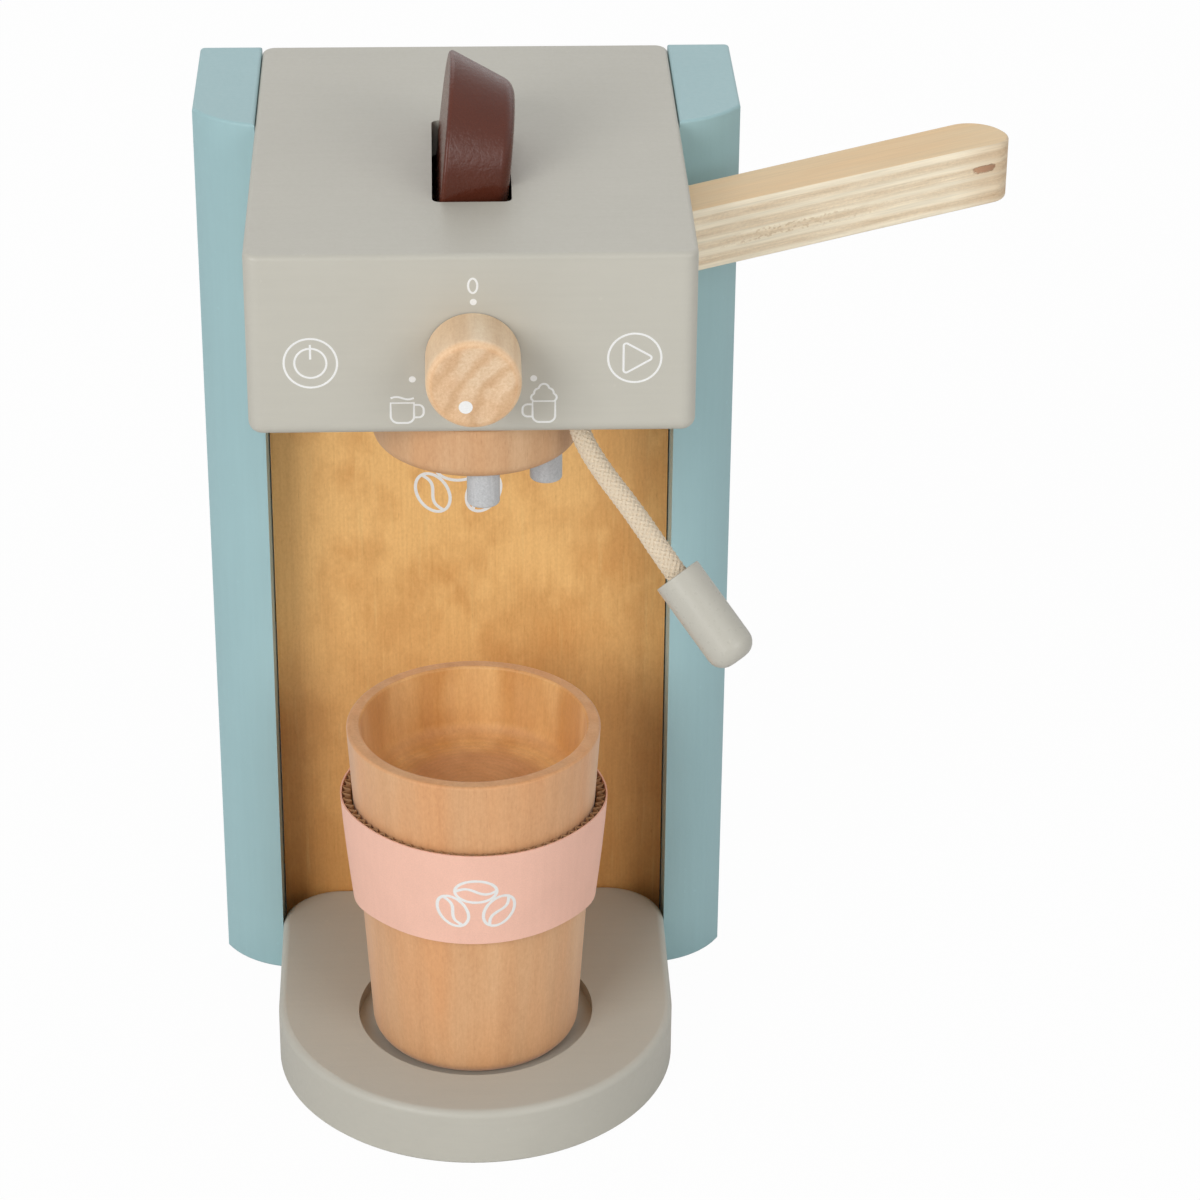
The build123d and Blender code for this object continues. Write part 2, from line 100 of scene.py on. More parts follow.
def tone(red, green, blue):
    """A colour given as 0 to 255 screen values, as the linear numbers that shaders take."""
    def channel(value):
        share = value / 255
        return share / 12.92 if share <= 0.04045 else ((share + 0.055) / 1.055) ** 2.4
    return channel(red), channel(green), channel(blue)


def length(name, description, default):
    """A length that a user may change."""
    return FloatProperty(
        name=name, description=description, default=default, min=0.0, unit="LENGTH", precision=5
    )


def slant(name, description, degrees):
    """An angle that a user may change."""
    return FloatProperty(name=name, description=description, default=radians(degrees), subtype="ANGLE")


def quantity(name, description, default, **limits):
    """A plain number from 0 up that a user may change."""
    return FloatProperty(name=name, description=description, default=default, min=0.0, **limits)


def colour(name, description, default):
    """A colour that a user may change."""
    return FloatVectorProperty(
        name=name, description=description, default=default, size=3, min=0.0, max=1.0, subtype="COLOR"
    )


# ---------------------------------------------------------------- settings
class PaintSettings(bpy.types.PropertyGroup):
    """Colours of everything that is painted, dyed or printed."""

    teal: colour("Side boards", "Paint of the two upright boards", tone(158, 191, 195))
    taupe: colour("Head and base", "Paint of the head, the base and the nozzle", tone(189, 186, 175))
    brown: colour("Capsule", "Gloss paint of the coffee capsule", tone(88, 42, 28))
    silver: colour("Spouts", "Metallic paint of the two spouts", tone(196, 197, 198))
    pink: colour("Sleeve", "Printed paper of the cup's sleeve", tone(240, 192, 172))
    card: colour("Fluting", "Bare card inside the sleeve", tone(178, 138, 100))
    ink: colour("Print", "White of the printed symbols", tone(232, 232, 230))
    cotton: colour("Rope", "Undyed cotton of the rope", tone(220, 204, 180))


class WoodSettings(bpy.types.PropertyGroup):
    """Colours of the woods that show."""

    cup: colour("Cup", "Turned wood of the cup", tone(217, 165, 117))
    dial: colour("Dial", "Turned wood of the dial", tone(236, 209, 176))
    bowl: colour("Bowl", "Turned wood of the portafilter's bowl", tone(206, 163, 122))
    veneer: colour("Back panel", "Face veneer of the back panel", tone(225, 173, 107))
    handle: colour("Handle", "Face veneer of the handle", tone(231, 206, 167))
    plies: colour("Plies", "Cut edges of the handle's plies", tone(250, 237, 211))
    inner: colour("Inside", "Plain wood of the parts inside the head", tone(206, 172, 128))


class TurnedSettings(bpy.types.PropertyGroup):
    """Sizes of the turned pieces."""

    cup_rim_radius: length("Cup rim radius", "Outer radius at the cup's rim", 32.6 * mm)
    cup_foot_radius: length("Cup foot radius", "Outer radius at the cup's foot", 27.0 * mm)
    cup_wall: length("Cup wall", "Thickness of the cup's wall at the rim", 3.6 * mm)
    cup_depth: length("Cup depth", "Depth of the cup's hollow", 20.0 * mm)
    cup_cove: length("Cup cove", "Radius where the hollow's wall meets its floor", 5.0 * mm)
    turning_pitch: length("Turning pitch", "Distance between the tool's lines in the hollow", 0.9 * mm)
    knob_radius: length("Dial radius", "Radius of the dial's grip", 11.1 * mm)
    bowl_radius: length("Bowl radius", "Radius of the portafilter's bowl", 25.2 * mm)
    spout_radius: length("Spout radius", "Radius of the two spouts", 3.95 * mm)
    nozzle_radius: length("Nozzle radius", "Radius of the frother's nozzle", 5.95 * mm)
    capsule_radius: length("Capsule radius", "Radius of the capsule's broad face", 26.07 * mm)


class SleeveSettings(bpy.types.PropertyGroup):
    """Sizes of the card sleeve."""

    flutes: IntProperty(name="Flutes", description="Waves of card round the cup", default=72, min=12)
    clearance: length("Clearance", "Gap between the cup and the card", 0.3 * mm)
    fluting: length("Fluting", "Thickness of the corrugated layer", 1.2 * mm)
    card: length("Card", "Thickness of the card that is corrugated", 0.22 * mm)
    paper: length("Paper", "Thickness of the printed paper", 0.4 * mm)
    washboard: length("Washboard", "How far the flutes show through the paper", 0.015 * mm)
    crease_reach: length("Crease reach", "How far a crease stands out at the bottom", 0.3 * mm)
    crease_flare: length("Crease flare", "How much further it stands out at the top", 1.0 * mm)
    front_rise: length("Front rise", "How far the bottom edge is above the solid's in front", 0.8 * mm)
    low_sag: length("Lower sag", "How far the bottom edge hangs down at a crease", 3.4 * mm)
    high_sag: length("Upper sag", "How far the top edge hangs down at a crease", 0.8 * mm)
    overlap: length("Overlap", "Width of the glued overlap at the back", 9.0 * mm)
    tilt: slant("Tilt", "How far the top edge runs askew", 1.0)


class PrintSettings(bpy.types.PropertyGroup):
    """Sizes of the printed symbols."""

    line: length("Line width", "Width of the printed lines", 0.50 * mm)
    motif_line: length("Motif line width", "Width of the lines of the panel's motif", 0.85 * mm)
    small_motif_line: length("Small motif line width", "Width of the lines of the sleeve's motif", 0.8 * mm)
    ring_radius: length("Ring radius", "Radius of the rings round the two outer symbols", 6.2 * mm)
    dial_dot: length("Dial dot", "Radius of the dot on the dial", 1.6 * mm)
    mark_dot: length("Mark dot", "Radius of the dots round the dial", 0.8 * mm)
    bean_length: length("Bean length", "Length of a bean printed on the panel", 12.0 * mm)
    small_bean_length: length("Small bean length", "Length of a bean printed on the sleeve", 10.0 * mm)


class RopeSettings(bpy.types.PropertyGroup):
    """Sizes of the braided rope."""

    radius: length("Radius", "Radius of the rope at the nozzle", 2.9 * mm)
    drawn: quantity("Drawn in", "Share of that radius at the socket", 0.86, max=1.0)
    strands: IntProperty(name="Strands", description="Strands that run each way round", default=9, min=4)
    strand_radius: length("Strand radius", "Radius of one strand", 0.58 * mm)
    braid_pitch: length("Braid pitch", "Length in which a strand goes once round", 13.0 * mm)
    weave: length("Weave", "How far a strand rises and dips at each crossing", 0.2 * mm)


class StageSettings(bpy.types.PropertyGroup):
    """Camera and light."""

    camera_place: FloatVectorProperty(
        name="Camera place", description="Where the camera stands", size=3, subtype="TRANSLATION",
        default=(-6.65 * mm, -879.63 * mm, 602.02 * mm),
    )
    camera_pitch: slant("Camera pitch", "How far the camera looks down", 28.775)
    camera_yaw: slant("Camera yaw", "How far the camera turns right", 2.193)
    camera_roll: slant("Camera roll", "How far the camera leans", 0.385)
    camera_lens: quantity("Camera lens", "Focal length on a 36 mm sensor", 115.92, unit="CAMERA")
    camera_shift: FloatVectorProperty(
        name="Camera shift", description="How far the view is moved in the frame", size=2,
        default=(0.02, 0.02),
    )
    ambient: quantity("Ambient", "Light from all round", 0.42)
    key: quantity("Key light", "Light of the box on the left", 0.375)
    fill: quantity("Fill light", "Light of the box on the right", 0.19)
    top: quantity("Top light", "Light of the box behind and above", 0.16)
    floor_glow: quantity("Floor glow", "Share of the floor that renders plain white", 0.97, max=1.0)


class CoffeeMakerSettings(bpy.types.PropertyGroup):
    """All that a user may change."""

    paint: PointerProperty(type=PaintSettings)
    wood: PointerProperty(type=WoodSettings)
    turned: PointerProperty(type=TurnedSettings)
    sleeve: PointerProperty(type=SleeveSettings)
    print: PointerProperty(type=PrintSettings)
    rope: PointerProperty(type=RopeSettings)
    stage: PointerProperty(type=StageSettings)


# ---------------------------------------------------------------- building finishes
class Field:
    """A number that nodes work out at each point of a surface. Plain arithmetic adds more nodes to it."""

    def __init__(self, wiring, socket):
        self.wiring = wiring
        self.socket = socket

    def math(self, operation, *others):
        """One step of arithmetic."""
        node = self.wiring.node("ShaderNodeMath", dict(enumerate((self, *others))), operation=operation)
        return Field(self.wiring, node.outputs[0])

    def __add__(self, other):
        return self.math("ADD", other)

    def __sub__(self, other):
        return self.math("SUBTRACT", other)

    def __mul__(self, other):
        return self.math("MULTIPLY", other)

    def __truediv__(self, other):
        return self.math("DIVIDE", other)

    def __pow__(self, power):
        return self.math("POWER", power)

    def __abs__(self):
        return self.math("ABSOLUTE")

    def waves(self, pitch):
        """A sine wave that comes round once in each pitch."""
        return (self * (2 * pi / pitch)).math("SINE")

    def spread(self, from_low, from_high, to_low=0.0, to_high=1.0):
        """Stretch a range of values to another one, and hold it at the ends."""
        inputs = {0: self, 1: from_low, 2: from_high, 3: to_low, 4: to_high}
        return Field(self.wiring, self.wiring.node("ShaderNodeMapRange", inputs, clamp=True).outputs[0])


class Wiring:
    """Adds nodes to the emptied node tree of a material or a world, and feeds their inputs."""

    def __init__(self, owner):
        owner.use_nodes = True
        self.tree = owner.node_tree
        self.tree.nodes.clear()

    def feed(self, socket, value):
        """Link an output to a socket, or write a plain value into it."""
        if isinstance(value, Field):
            value = value.socket
        if isinstance(value, bpy.types.NodeSocket):
            self.tree.links.new(value, socket)
        elif socket.type == "RGBA":
            socket.default_value = (*value, 1.0)
        else:
            socket.default_value = value

    def node(self, kind, inputs=(), **options):
        """Add a node, with its options set and its inputs fed by name or number."""
        node = self.tree.nodes.new(kind)
        for option, value in options.items():
            setattr(node, option, value)
        for key, value in dict(inputs).items():
            self.feed(node.inputs[key], value)
        return node


class Finish(Wiring):
    """A node material under construction. It holds one Principled shader and what feeds it."""

    def __init__(self, name, **sockets):
        self.material = bpy.data.materials.new(name)
        super().__init__(self.material)
        self.shader = self.node("ShaderNodeBsdfPrincipled")
        self.node("ShaderNodeOutputMaterial", {"Surface": self.shader.outputs["BSDF"]})
        for socket, value in sockets.items():
            self.shader.inputs[socket.replace("_", " ").title().replace("Ior", "IOR")].default_value = value
        coordinates = self.node("ShaderNodeTexCoord").outputs
        self.place = coordinates["Object"]
        self.facing = coordinates["Normal"]

    def mapped(self, vector, scale=(1, 1, 1), turn=(0, 0, 0), shift=(0, 0, 0)):
        """Stretch, turn and shift a pattern's coordinates."""
        inputs = {"Vector": vector, "Scale": scale, "Rotation": turn, "Location": shift}
        return self.node("ShaderNodeMapping", inputs).outputs["Vector"]

    def noise(self, size, detail=2.0, roughness=0.5, vector=None, **mapping):
        """Soft noise from 0 to 1, with spots about as large as the size, on coordinates mapped as asked."""
        vector = self.place if vector is None else vector
        if mapping:
            vector = self.mapped(vector, **mapping)
        inputs = {"Vector": vector, "Scale": 1 / size, "Detail": detail, "Roughness": roughness}
        return Field(self, self.node("ShaderNodeTexNoise", inputs).outputs["Fac"])

    def split(self, vector):
        """The three parts of a vector."""
        return [Field(self, part) for part in self.node("ShaderNodeSeparateXYZ", {0: vector}).outputs]

    def mix(self, share, first, second, blend="MIX"):
        """Mix two colours."""
        inputs = {0: share, 6: first, 7: second}
        return self.node("ShaderNodeMix", inputs, data_type="RGBA", blend_type=blend).outputs[2]

    def overlay(self, colour, base, *layers):
        """Lay tones of a base over a colour. Each has its share, its lightness and its warmth."""
        for share, lightness, warmth in layers:
            colour = self.mix(share, colour, tint(base, lightness, warmth))
        return colour

    def shade(self, base, amount, warm=0.0):
        """Darken or lighten a colour by a factor near 1. Where warm is above 0, dark is also warmer."""
        factors = {0: amount ** (1 - warm), 1: amount, 2: amount ** (1 + warm)}
        return self.mix(1.0, base, self.node("ShaderNodeCombineColor", factors).outputs[0], "MULTIPLY")

    def dress(self, base, roughness, height, depth):
        """Feed the shader's colour, roughness and bump, and return the material."""
        self.feed(self.shader.inputs["Base Color"], base)
        self.feed(self.shader.inputs["Roughness"], roughness)
        bump = self.node("ShaderNodeBump", {"Height": height, "Distance": depth, "Strength": 1.0})
        self.feed(self.shader.inputs["Normal"], bump.outputs[0])
        return self.material


def tint(base, factor, warm=0.0):
    """A lighter or darker tone of a colour, warmer where warm is above 0."""
    factors = (factor * (1 + warm), factor, factor * (1 - warm))
    return tuple(min(part * share, 1.0) for part, share in zip(base, factors))


def paint(name, base, grain_scale, smooth=0.36):
    """Satin paint rolled on a board, with the board's grain just showing through."""
    finish = Finish(name, specular_ior_level=0.35)
    stipple = finish.noise(1.1 * mm)
    grain = finish.noise(1.4 * mm, 3, 0.6, scale=grain_scale)
    cloud = finish.noise(45 * mm, 3)
    dust = finish.noise(1.7 * mm, 0).spread(0.84, 0.87)
    amount = cloud.spread(0.3, 0.7, 0.975, 1.02) + grain.spread(0.3, 0.7, -0.012, 0.012)
    tinted = finish.mix(dust * 0.22, finish.shade(base, amount), tint(base, 1.2))
    roughness = stipple.spread(0.3, 0.7, smooth, smooth + 0.12)
    return finish.dress(tinted, roughness, stipple + grain * 0.5, 0.03 * mm)


def timber(
    name, base, turn=(0, 0, 0), pith=(30 * mm, 30 * mm, 0), ring=2.6 * mm, rings=0.4, streaks=1.0,
    pores=0.5, ends=0.14, rim=0.3, sheen=0.0, hollow=None,
):
    """Solid wood: rings round a pith, streaks, fibres and short pores along the grain, and darker ends."""
    finish = Finish(name, specular_ior_level=0.4, sheen_weight=sheen)
    grain = finish.mapped(finish.mapped(finish.place, shift=tuple(-part for part in pith)), turn=turn)

    def along(stretch, *options):
        return finish.noise(*options, vector=grain, scale=(1, 1, stretch))

    tilt = abs(finish.split(finish.mapped(finish.facing, turn=turn))[2])
    end = tilt.spread(0.75, 0.97)
    rubbed = tilt.spread(0.25, 0.6) * tilt.spread(0.995, 0.9)
    beside, ahead, _ = finish.split(grain)
    reach = (beside * beside + ahead * ahead).math("SQRT") + along(0.18, 11 * mm, 3) * (11 * mm)
    late = reach.waves(ring).spread(-0.2, 1.0) * end.spread(0, 1, 0.4 * rings, rings)
    patches = along(0.15, 14 * mm).spread(0.35, 0.65)
    blushed = finish.mix(patches, tint(base, 1.05, -0.04), tint(base, 0.93, 0.10))
    if hollow:
        blushed = gild_hollow(finish, blushed, *hollow)
    ringed = finish.overlay(blushed, base, (late, 0.74, 0.14), (rubbed * rim, 0.80, 0.20))
    fibre = along(0.05, 0.5 * mm, 3, 0.6)
    speckle = along(0.5, 0.7 * mm, 3, 0.7)
    streak = along(0.03, 6 * mm, 3, 0.6)
    pore = along(0.12, 0.34 * mm, 1).spread(0.66, 0.76)
    amount = streak.spread(0.3, 0.7, 1 - 0.08 * streaks, 1 + 0.06 * streaks)
    amount = amount + fibre.spread(0.25, 0.75, -0.055 * streaks, 0.045 * streaks)
    amount = amount + speckle.spread(0.3, 0.7, -1.1, 0.9) * end.spread(0, 1, 0.075, 0.09)
    amount = amount - pore * (0.2 * pores) - end * ends
    roughness = fibre.spread(0.3, 0.7, 0.46, 0.60)
    height = fibre - pore * (1.5 * pores)
    return finish.dress(finish.shade(ringed, amount, 0.35), roughness, height, 0.045 * mm)


def gild_hollow(finish, outer, radius, height):
    """Golden wood inside the cup's hollow, above a height, with facets, a darker floor and turning lines."""
    floor_edge = 21 * mm
    floor_full = 17 * mm
    line_pitch = 1.7 * mm
    line_contrast = 0.035
    x, y, z = finish.split(finish.place)
    beside = x - cup_axis.x
    ahead = y - cup_axis.y
    reached = (beside * beside + ahead * ahead).math("SQRT")
    inside = reached.math("LESS_THAN", radius) * z.math("GREATER_THAN", height)
    facets = finish.noise(15 * mm, scale=(1, 1, 0.3)).spread(0.42, 0.58)
    floor = reached.spread(floor_edge, floor_full, 0.0, 0.7)
    golden = finish.mix(facets, tone(240, 193, 126), tone(220, 163, 91))
    golden = finish.mix(floor, golden, tone(208, 150, 104))
    golden = finish.shade(golden, reached.waves(line_pitch) * line_contrast + 1)
    return finish.mix(inside * 0.85, outer, golden)


def veneer(name, base):
    """Rotary-cut face veneer: wavy figure, clouds, painted foot shade, scratches, fine fibres and short
    pores.
    """
    finish = Finish(name, specular_ior_level=0.3)
    x, _, z = finish.split(finish.place)

    def upright(stretch, *options, **mapping):
        return finish.noise(*options, scale=(1, 1, stretch), **mapping)

    figure = x + upright(0.35, 30 * mm, 3, 0.55) * (75 * mm) + x * x * 9.0
    bands = figure.waves(13 * mm).spread(-0.6, 1.0)
    lines = figure.waves(2.4 * mm).spread(0.0, 1.0)
    cloud = upright(0.7, 22 * mm, 4, 0.65)
    dark_cloud = upright(0.5, 17 * mm, 3, 0.6, shift=(0.2, 0, 0.1))
    scratch = upright(0.05, 1.5 * mm, 2, 0.6, turn=(0, 0.06, 0))
    fibre = upright(0.03, 0.55 * mm, 3, 0.6)
    speckle = upright(0.6, 0.6 * mm, 3, 0.7)
    pore = upright(0.1, 0.4 * mm, 1).spread(0.68, 0.78)
    toned = finish.overlay(
        base, base,
        (bands * 0.25, 0.86, 0.06),
        (dark_cloud.spread(0.46, 0.64, 0.0, 0.8), 0.86, 0.10),
        (cloud.spread(0.44, 0.58, 0.0, 0.9), 1.26, -0.08),
        (lines * cloud.spread(0.6, 0.4, 0.0, 0.22), 0.80, 0.06),
        # painted shade: darker and warmer towards the foot, where the base and the cup keep light off the
        # panel
        (z.spread(110 * mm, 30 * mm, 0.0, 0.65), 0.80, 0.14),
        (scratch.spread(0.60, 0.72, 0.0, 0.35), 1.32, -0.15),
    )
    amount = fibre.spread(0.25, 0.75, 0.92, 1.06) + speckle.spread(0.3, 0.7, -0.08, 0.06) - pore * 0.14
    roughness = fibre.spread(0.3, 0.7, 0.40, 0.54)
    return finish.dress(finish.shade(toned, amount, 0.3), roughness, fibre - pore, 0.035 * mm)


class HandleFinish(Finish):
    """The handle's plywood, with its grain along the handle and its plies from the underside up."""

    def __init__(self, name, low, high):
        super().__init__(name, specular_ior_level=0.35)
        self.low = low
        self.high = high
        self.grain = self.mapped(self.place, turn=(0, 0, -HANDLE_TURN))
        self.reach, self.aside, self.rise = self.split(self.grain)
        self.streak = self.along(0.04, 1.0 * mm, 3, 0.65)
        self.ends = self.along(0.5, 0.5 * mm, 2, 0.7)

    def along(self, stretch, *options):
        """Noise stretched along the handle."""
        return self.noise(*options, vector=self.grain, scale=(stretch, 1, 1))

    def plies(self, edge):
        """The cut edges of long and cross plies by turns, with soft uneven borders and painted shade at the
        tip.
        """
        waver = self.along(0.035, 3 * mm, 3, 0.6).spread(0.2, 0.8, -0.35, 0.35)
        uneven = self.noise(3.2 * mm, 1, scale=(0, 0, 1)).spread(0.2, 0.8, -0.6, 0.6)
        level = (self.rise - self.low) / ((self.high - self.low) / HANDLE_PLIES) + waver + uneven
        level = level.math("MAXIMUM", 0.3).math("MINIMUM", HANDLE_PLIES - 0.3)
        long_share = (level + 0.5).math("PINGPONG", 1.0).spread(0.25, 0.75)
        long_ply = self.shade(tint(edge, 1.04), self.streak.spread(0.3, 0.7, 0.87, 1.05))
        cross_ply = self.shade(tint(edge, 0.86, 0.07), self.streak.spread(0.3, 0.7, 0.82, 1.12), 0.3)
        cross_ply = self.shade(cross_ply, self.ends.spread(0.25, 0.75, 0.90, 1.06))
        hairs = self.along(0.02, 0.35 * mm, 2, 0.6).spread(0.3, 0.7, 0.93, 1.04)
        sides = self.shade(self.mix(long_share, cross_ply, long_ply), hairs)
        # painted shade: the ply edges darken towards the tip, which faces away from the key light
        return self.shade(sides, self.reach.spread(118 * mm, 134 * mm, 1.0, 0.70), 0.3)

    def torn(self):
        """Where fibres are torn out, half-way along the handle."""
        middle = 71 * mm
        half = 30 * mm
        level = self.high - 9.9 * mm
        zone = abs(self.reach - middle).spread(half, half / 3)
        zone = zone * abs(self.rise - level).spread(1.9 * mm, 1.1 * mm)
        return self.along(0.6, 0.7 * mm, 1).spread(0.50, 0.60) * zone * self.streak.spread(0.4, 0.6)

    def void(self):
        """Where a core ply has a void near the handle's tip, with a ragged edge."""
        ragged = self.streak.spread(0.3, 0.7, -0.7, 0.7) + self.ends.spread(0.3, 0.7, -0.6, 0.6)
        middle = (127.0 * mm, -39.6 * mm, self.high - 6.1 * mm)
        halves = (3.3 * mm, 5.0 * mm, 1.0 * mm)
        for value, centre, half in zip((self.reach, self.aside, self.rise), middle, halves):
            ragged = ragged + ((value - centre) / half) ** 4
        return ragged.spread(1.3, 0.5)

    def veneered(self, face):
        """The face veneer, a little redder in patches."""
        blush = self.along(0.12, 9 * mm).spread(0.4, 0.7, 0.0, 0.8)
        blushed = self.overlay(face, face, (blush, 0.96, 0.10))
        return self.shade(blushed, self.streak.spread(0.3, 0.7, 0.94, 1.03))


def plywood(name, face, edge, low, high):
    """The handle's plywood: veneer above and below, plies between them, torn marks and a void."""
    finish = HandleFinish(name, low, high)
    torn = finish.torn()
    void = finish.void()
    # painted shade: the void is coloured as a dark gap, lit at its left end and darker to the right
    hole = finish.shade(tone(178, 130, 98), finish.reach.spread(124 * mm, 130 * mm, 1.2, 0.75))
    sides = finish.overlay(finish.plies(edge), edge, (torn * 0.6, 0.48, 0.28))
    sides = finish.mix(void * 0.85, sides, hole)
    veneer_starts = 0.16 * mm
    veneer_whole = 0.04 * mm
    on_top = finish.rise.spread(high - veneer_starts, high - veneer_whole)
    below = finish.rise.spread(low + veneer_starts, low + veneer_whole)
    covered = finish.mix(on_top.math("MAXIMUM", below), sides, finish.veneered(face))
    fibre = finish.along(0.03, 0.5 * mm, 3, 0.6)
    shaded = finish.shade(covered, fibre.spread(0.25, 0.75, 0.965, 1.025))
    return finish.dress(shaded, fibre.spread(0.3, 0.7, 0.5, 0.62), fibre - torn - void * 4, 0.06 * mm)


def gloss(name, base):
    """Thick gloss paint with orange peel, and painted glints: light specks on the peel's peaks."""
    finish = Finish(name, specular_ior_level=0.3)
    peel = finish.noise(1.3 * mm, 2, 0.6)
    fine = finish.noise(0.45 * mm, 1)
    shaded = finish.shade(base, finish.noise(12 * mm).spread(0.3, 0.7, 0.92, 1.08))
    # painted glints: light specks where the fine orange peel stands highest
    glinted = finish.mix(fine.spread(0.62, 0.8, 0.0, 0.12), shaded, tint(base, 1.6))
    return finish.dress(glinted, peel.spread(0.3, 0.7, 0.20, 0.32), peel + fine * 0.4, 0.08 * mm)


def metallic_paint(name, base):
    """Silver paint on a dowel: coarse flakes over pale streaks of grain."""
    finish = Finish(name, metallic=0.3, specular_ior_level=0.5)
    flakes = finish.noise(0.5 * mm, 2, 0.7)
    streaks = finish.noise(1.2 * mm, scale=(1, 1, 0.12))
    amount = flakes.spread(0.3, 0.7, 0.86, 1.10) + streaks.spread(0.45, 0.75, -0.02, 0.10)
    return finish.dress(finish.shade(base, amount), flakes.spread(0.3, 0.7, 0.36, 0.52), flakes, 0.04 * mm)


def fibrous(name, base, size, depth, sheen=0.0, rough=0.85):
    """A matt fibrous surface, such as paper, card or cotton."""
    finish = Finish(name, specular_ior_level=0.2, sheen_weight=sheen)
    fibre = finish.noise(size, 3, 0.65)
    cloud = finish.noise(size * 30)
    amount = fibre.spread(0.3, 0.7, 0.95, 1.04) + cloud.spread(0.3, 0.7, -0.02, 0.02)
    shaded = finish.shade(base, amount)
    roughness = fibre.spread(0.3, 0.7, rough - 0.08, rough)
    return finish.dress(shaded, roughness, fibre, depth)


def steel(name):
    """Zinc-plated screws and washers."""
    finish = Finish(name, metallic=1.0)
    wear = finish.noise(0.6 * mm)
    tinted = finish.shade(tone(190, 190, 186), wear.spread(0.3, 0.7, 0.85, 1.05))
    return finish.dress(tinted, wear.spread(0.3, 0.7, 0.28, 0.42), wear, 0.01 * mm)


# ---------------------------------------------------------------- building pieces
def spin(outline, steps, closed=False):
    """Spin (radius, height) points, joined in a line or a closed loop, once round Z."""
    bm = bmesh.new()
    verts = [bm.verts.new((radius, 0, height)) for radius, height in outline]
    pairs = list(zip(verts, verts[1:])) + ([(verts[-1], verts[0])] if closed else [])
    edges = [bm.edges.new(pair) for pair in pairs]
    bmesh.ops.spin(
        bm, geom=verts + edges, cent=(0, 0, 0), axis=Z_AXIS, dvec=(0, 0, 0), angle=2 * pi, steps=steps,
        use_merge=True,
    )
    return bm


def lathe(profile, roundings=(), steps=TURNED_STEPS):
    """Turn a profile of (radius, height) points. Roundings are pairs of a point's index and a radius."""
    bm = spin(profile, steps)
    bmesh.ops.remove_doubles(bm, verts=bm.verts, dist=WELD)
    bmesh.ops.recalc_face_normals(bm, faces=bm.faces)
    for index, radius in roundings:
        before, corner, after = (Vector(point) for point in profile[index - 1:index + 2])
        turn = (corner - before).angle(after - corner)
        round_ring(bm, corner, radius * tan(turn / 2))
    return bm


def round_ring(bm, corner, width):
    """Bevel the ring of edges that a profile's corner left."""
    def on_ring(vert):
        return abs(hypot(vert.co.x, vert.co.y) - corner.x) < WELD and abs(vert.co.z - corner.y) < WELD
    ring = [edge for edge in bm.edges if all(on_ring(vert) for vert in edge.verts)]
    bmesh.ops.bevel(
        bm, geom=ring, offset=width, offset_type="OFFSET", affect="EDGES", segments=ROUND_SEGMENTS,
        profile=0.5, material=-1,
    )


def seat(bm, node, turn=None):
    """Turn a bmesh, then move it so that its box has the same middle as a node's."""
    if turn is not None:
        bmesh.ops.transform(bm, matrix=turn.to_4x4(), verts=bm.verts)
    low = Vector(min(vert.co[i] for vert in bm.verts) for i in range(3))
    high = Vector(max(vert.co[i] for vert in bm.verts) for i in range(3))
    node_low, node_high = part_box(node)
    bmesh.ops.translate(bm, vec=(node_low + node_high - low - high) / 2, verts=bm.verts)


def mesh_of(bm, name):
    """The bmesh as a mesh."""
    mesh = bpy.data.meshes.new(name)
    bm.to_mesh(mesh)
    bm.free()
    return mesh


def show(shape, name, body, material, nodes=(), weighted=True):
    """Make a mesh or a bmesh a piece that rides on a body and stands for nodes of the frame."""
    mesh = mesh_of(shape, name) if isinstance(shape, bmesh.types.BMesh) else shape
    mesh.materials.clear()
    mesh.materials.append(material)
    mesh.shade_smooth()
    mesh.set_sharp_from_angle(angle=SHARP_ANGLE)
    piece = bpy.data.objects.new(name, mesh)
    bpy.context.scene.collection.objects.link(piece)
    if weighted:
        normals = piece.modifiers.new("Weighted normals", "WEIGHTED_NORMAL")
        normals.keep_sharp = True
    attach(piece, body)
    if nodes:
        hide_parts(*nodes)
    return piece


def turned(name, node, body, material, slot, profile, roundings, steps=TURNED_STEPS, turn=None):
    """Turn a piece, seat it where its node is and show it in the node's stead."""
    bm = lathe(profile, roundings, steps)
    seat(bm, node, turn)
    return show(bm, name, body, material, [node])


def dress_node(node, material):
    """Give a node of the frame a new material."""
    for material_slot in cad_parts[node].material_slots:
        material_slot.material = material


def strokes(lines, width, name, closed=()):
    """Lines drawn with a round pen in a flat plane, as a mesh. Closed has the numbers of closed ones."""
    curve = bpy.data.curves.new(name, "CURVE")
    curve.dimensions = "3D"
    curve.bevel_depth = width / 2
    curve.bevel_resolution = 2
    curve.use_fill_caps = True
    for number, line in enumerate(lines):
        spline = curve.splines.new("POLY")
        spline.points.add(len(line) - 1)
        for point, (x, z) in zip(spline.points, line):
            point.co = (x, 0, z, 1)
        spline.use_cyclic_u = number in closed
    return mesh_from_curve(curve, name)


def mesh_from_curve(curve, name):
    """The mesh that a curve's bevel, or its bare line, gives."""
    holder = bpy.data.objects.new(name, curve)
    bpy.context.scene.collection.objects.link(holder)
    bpy.context.view_layer.update()
    mesh = bpy.data.meshes.new_from_object(holder.evaluated_get(bpy.context.evaluated_depsgraph_get()))
    bpy.data.objects.remove(holder)
    bpy.data.curves.remove(curve)
    mesh.name = name
    return mesh


def arc(centre, radii, start, end, steps=24):
    """Points of an arc or of part of an ellipse, with its angles in degrees."""
    angles = [radians(start + (end - start) * step / steps) for step in range(steps + 1)]
    return [(centre[0] + radii[0] * cos(angle), centre[1] + radii[1] * sin(angle)) for angle in angles]


def circle(centre, radii, steps=48):
    """Points once round a circle or an ellipse."""
    return arc(centre, radii, 0, 360 - 360 / steps, steps - 1)


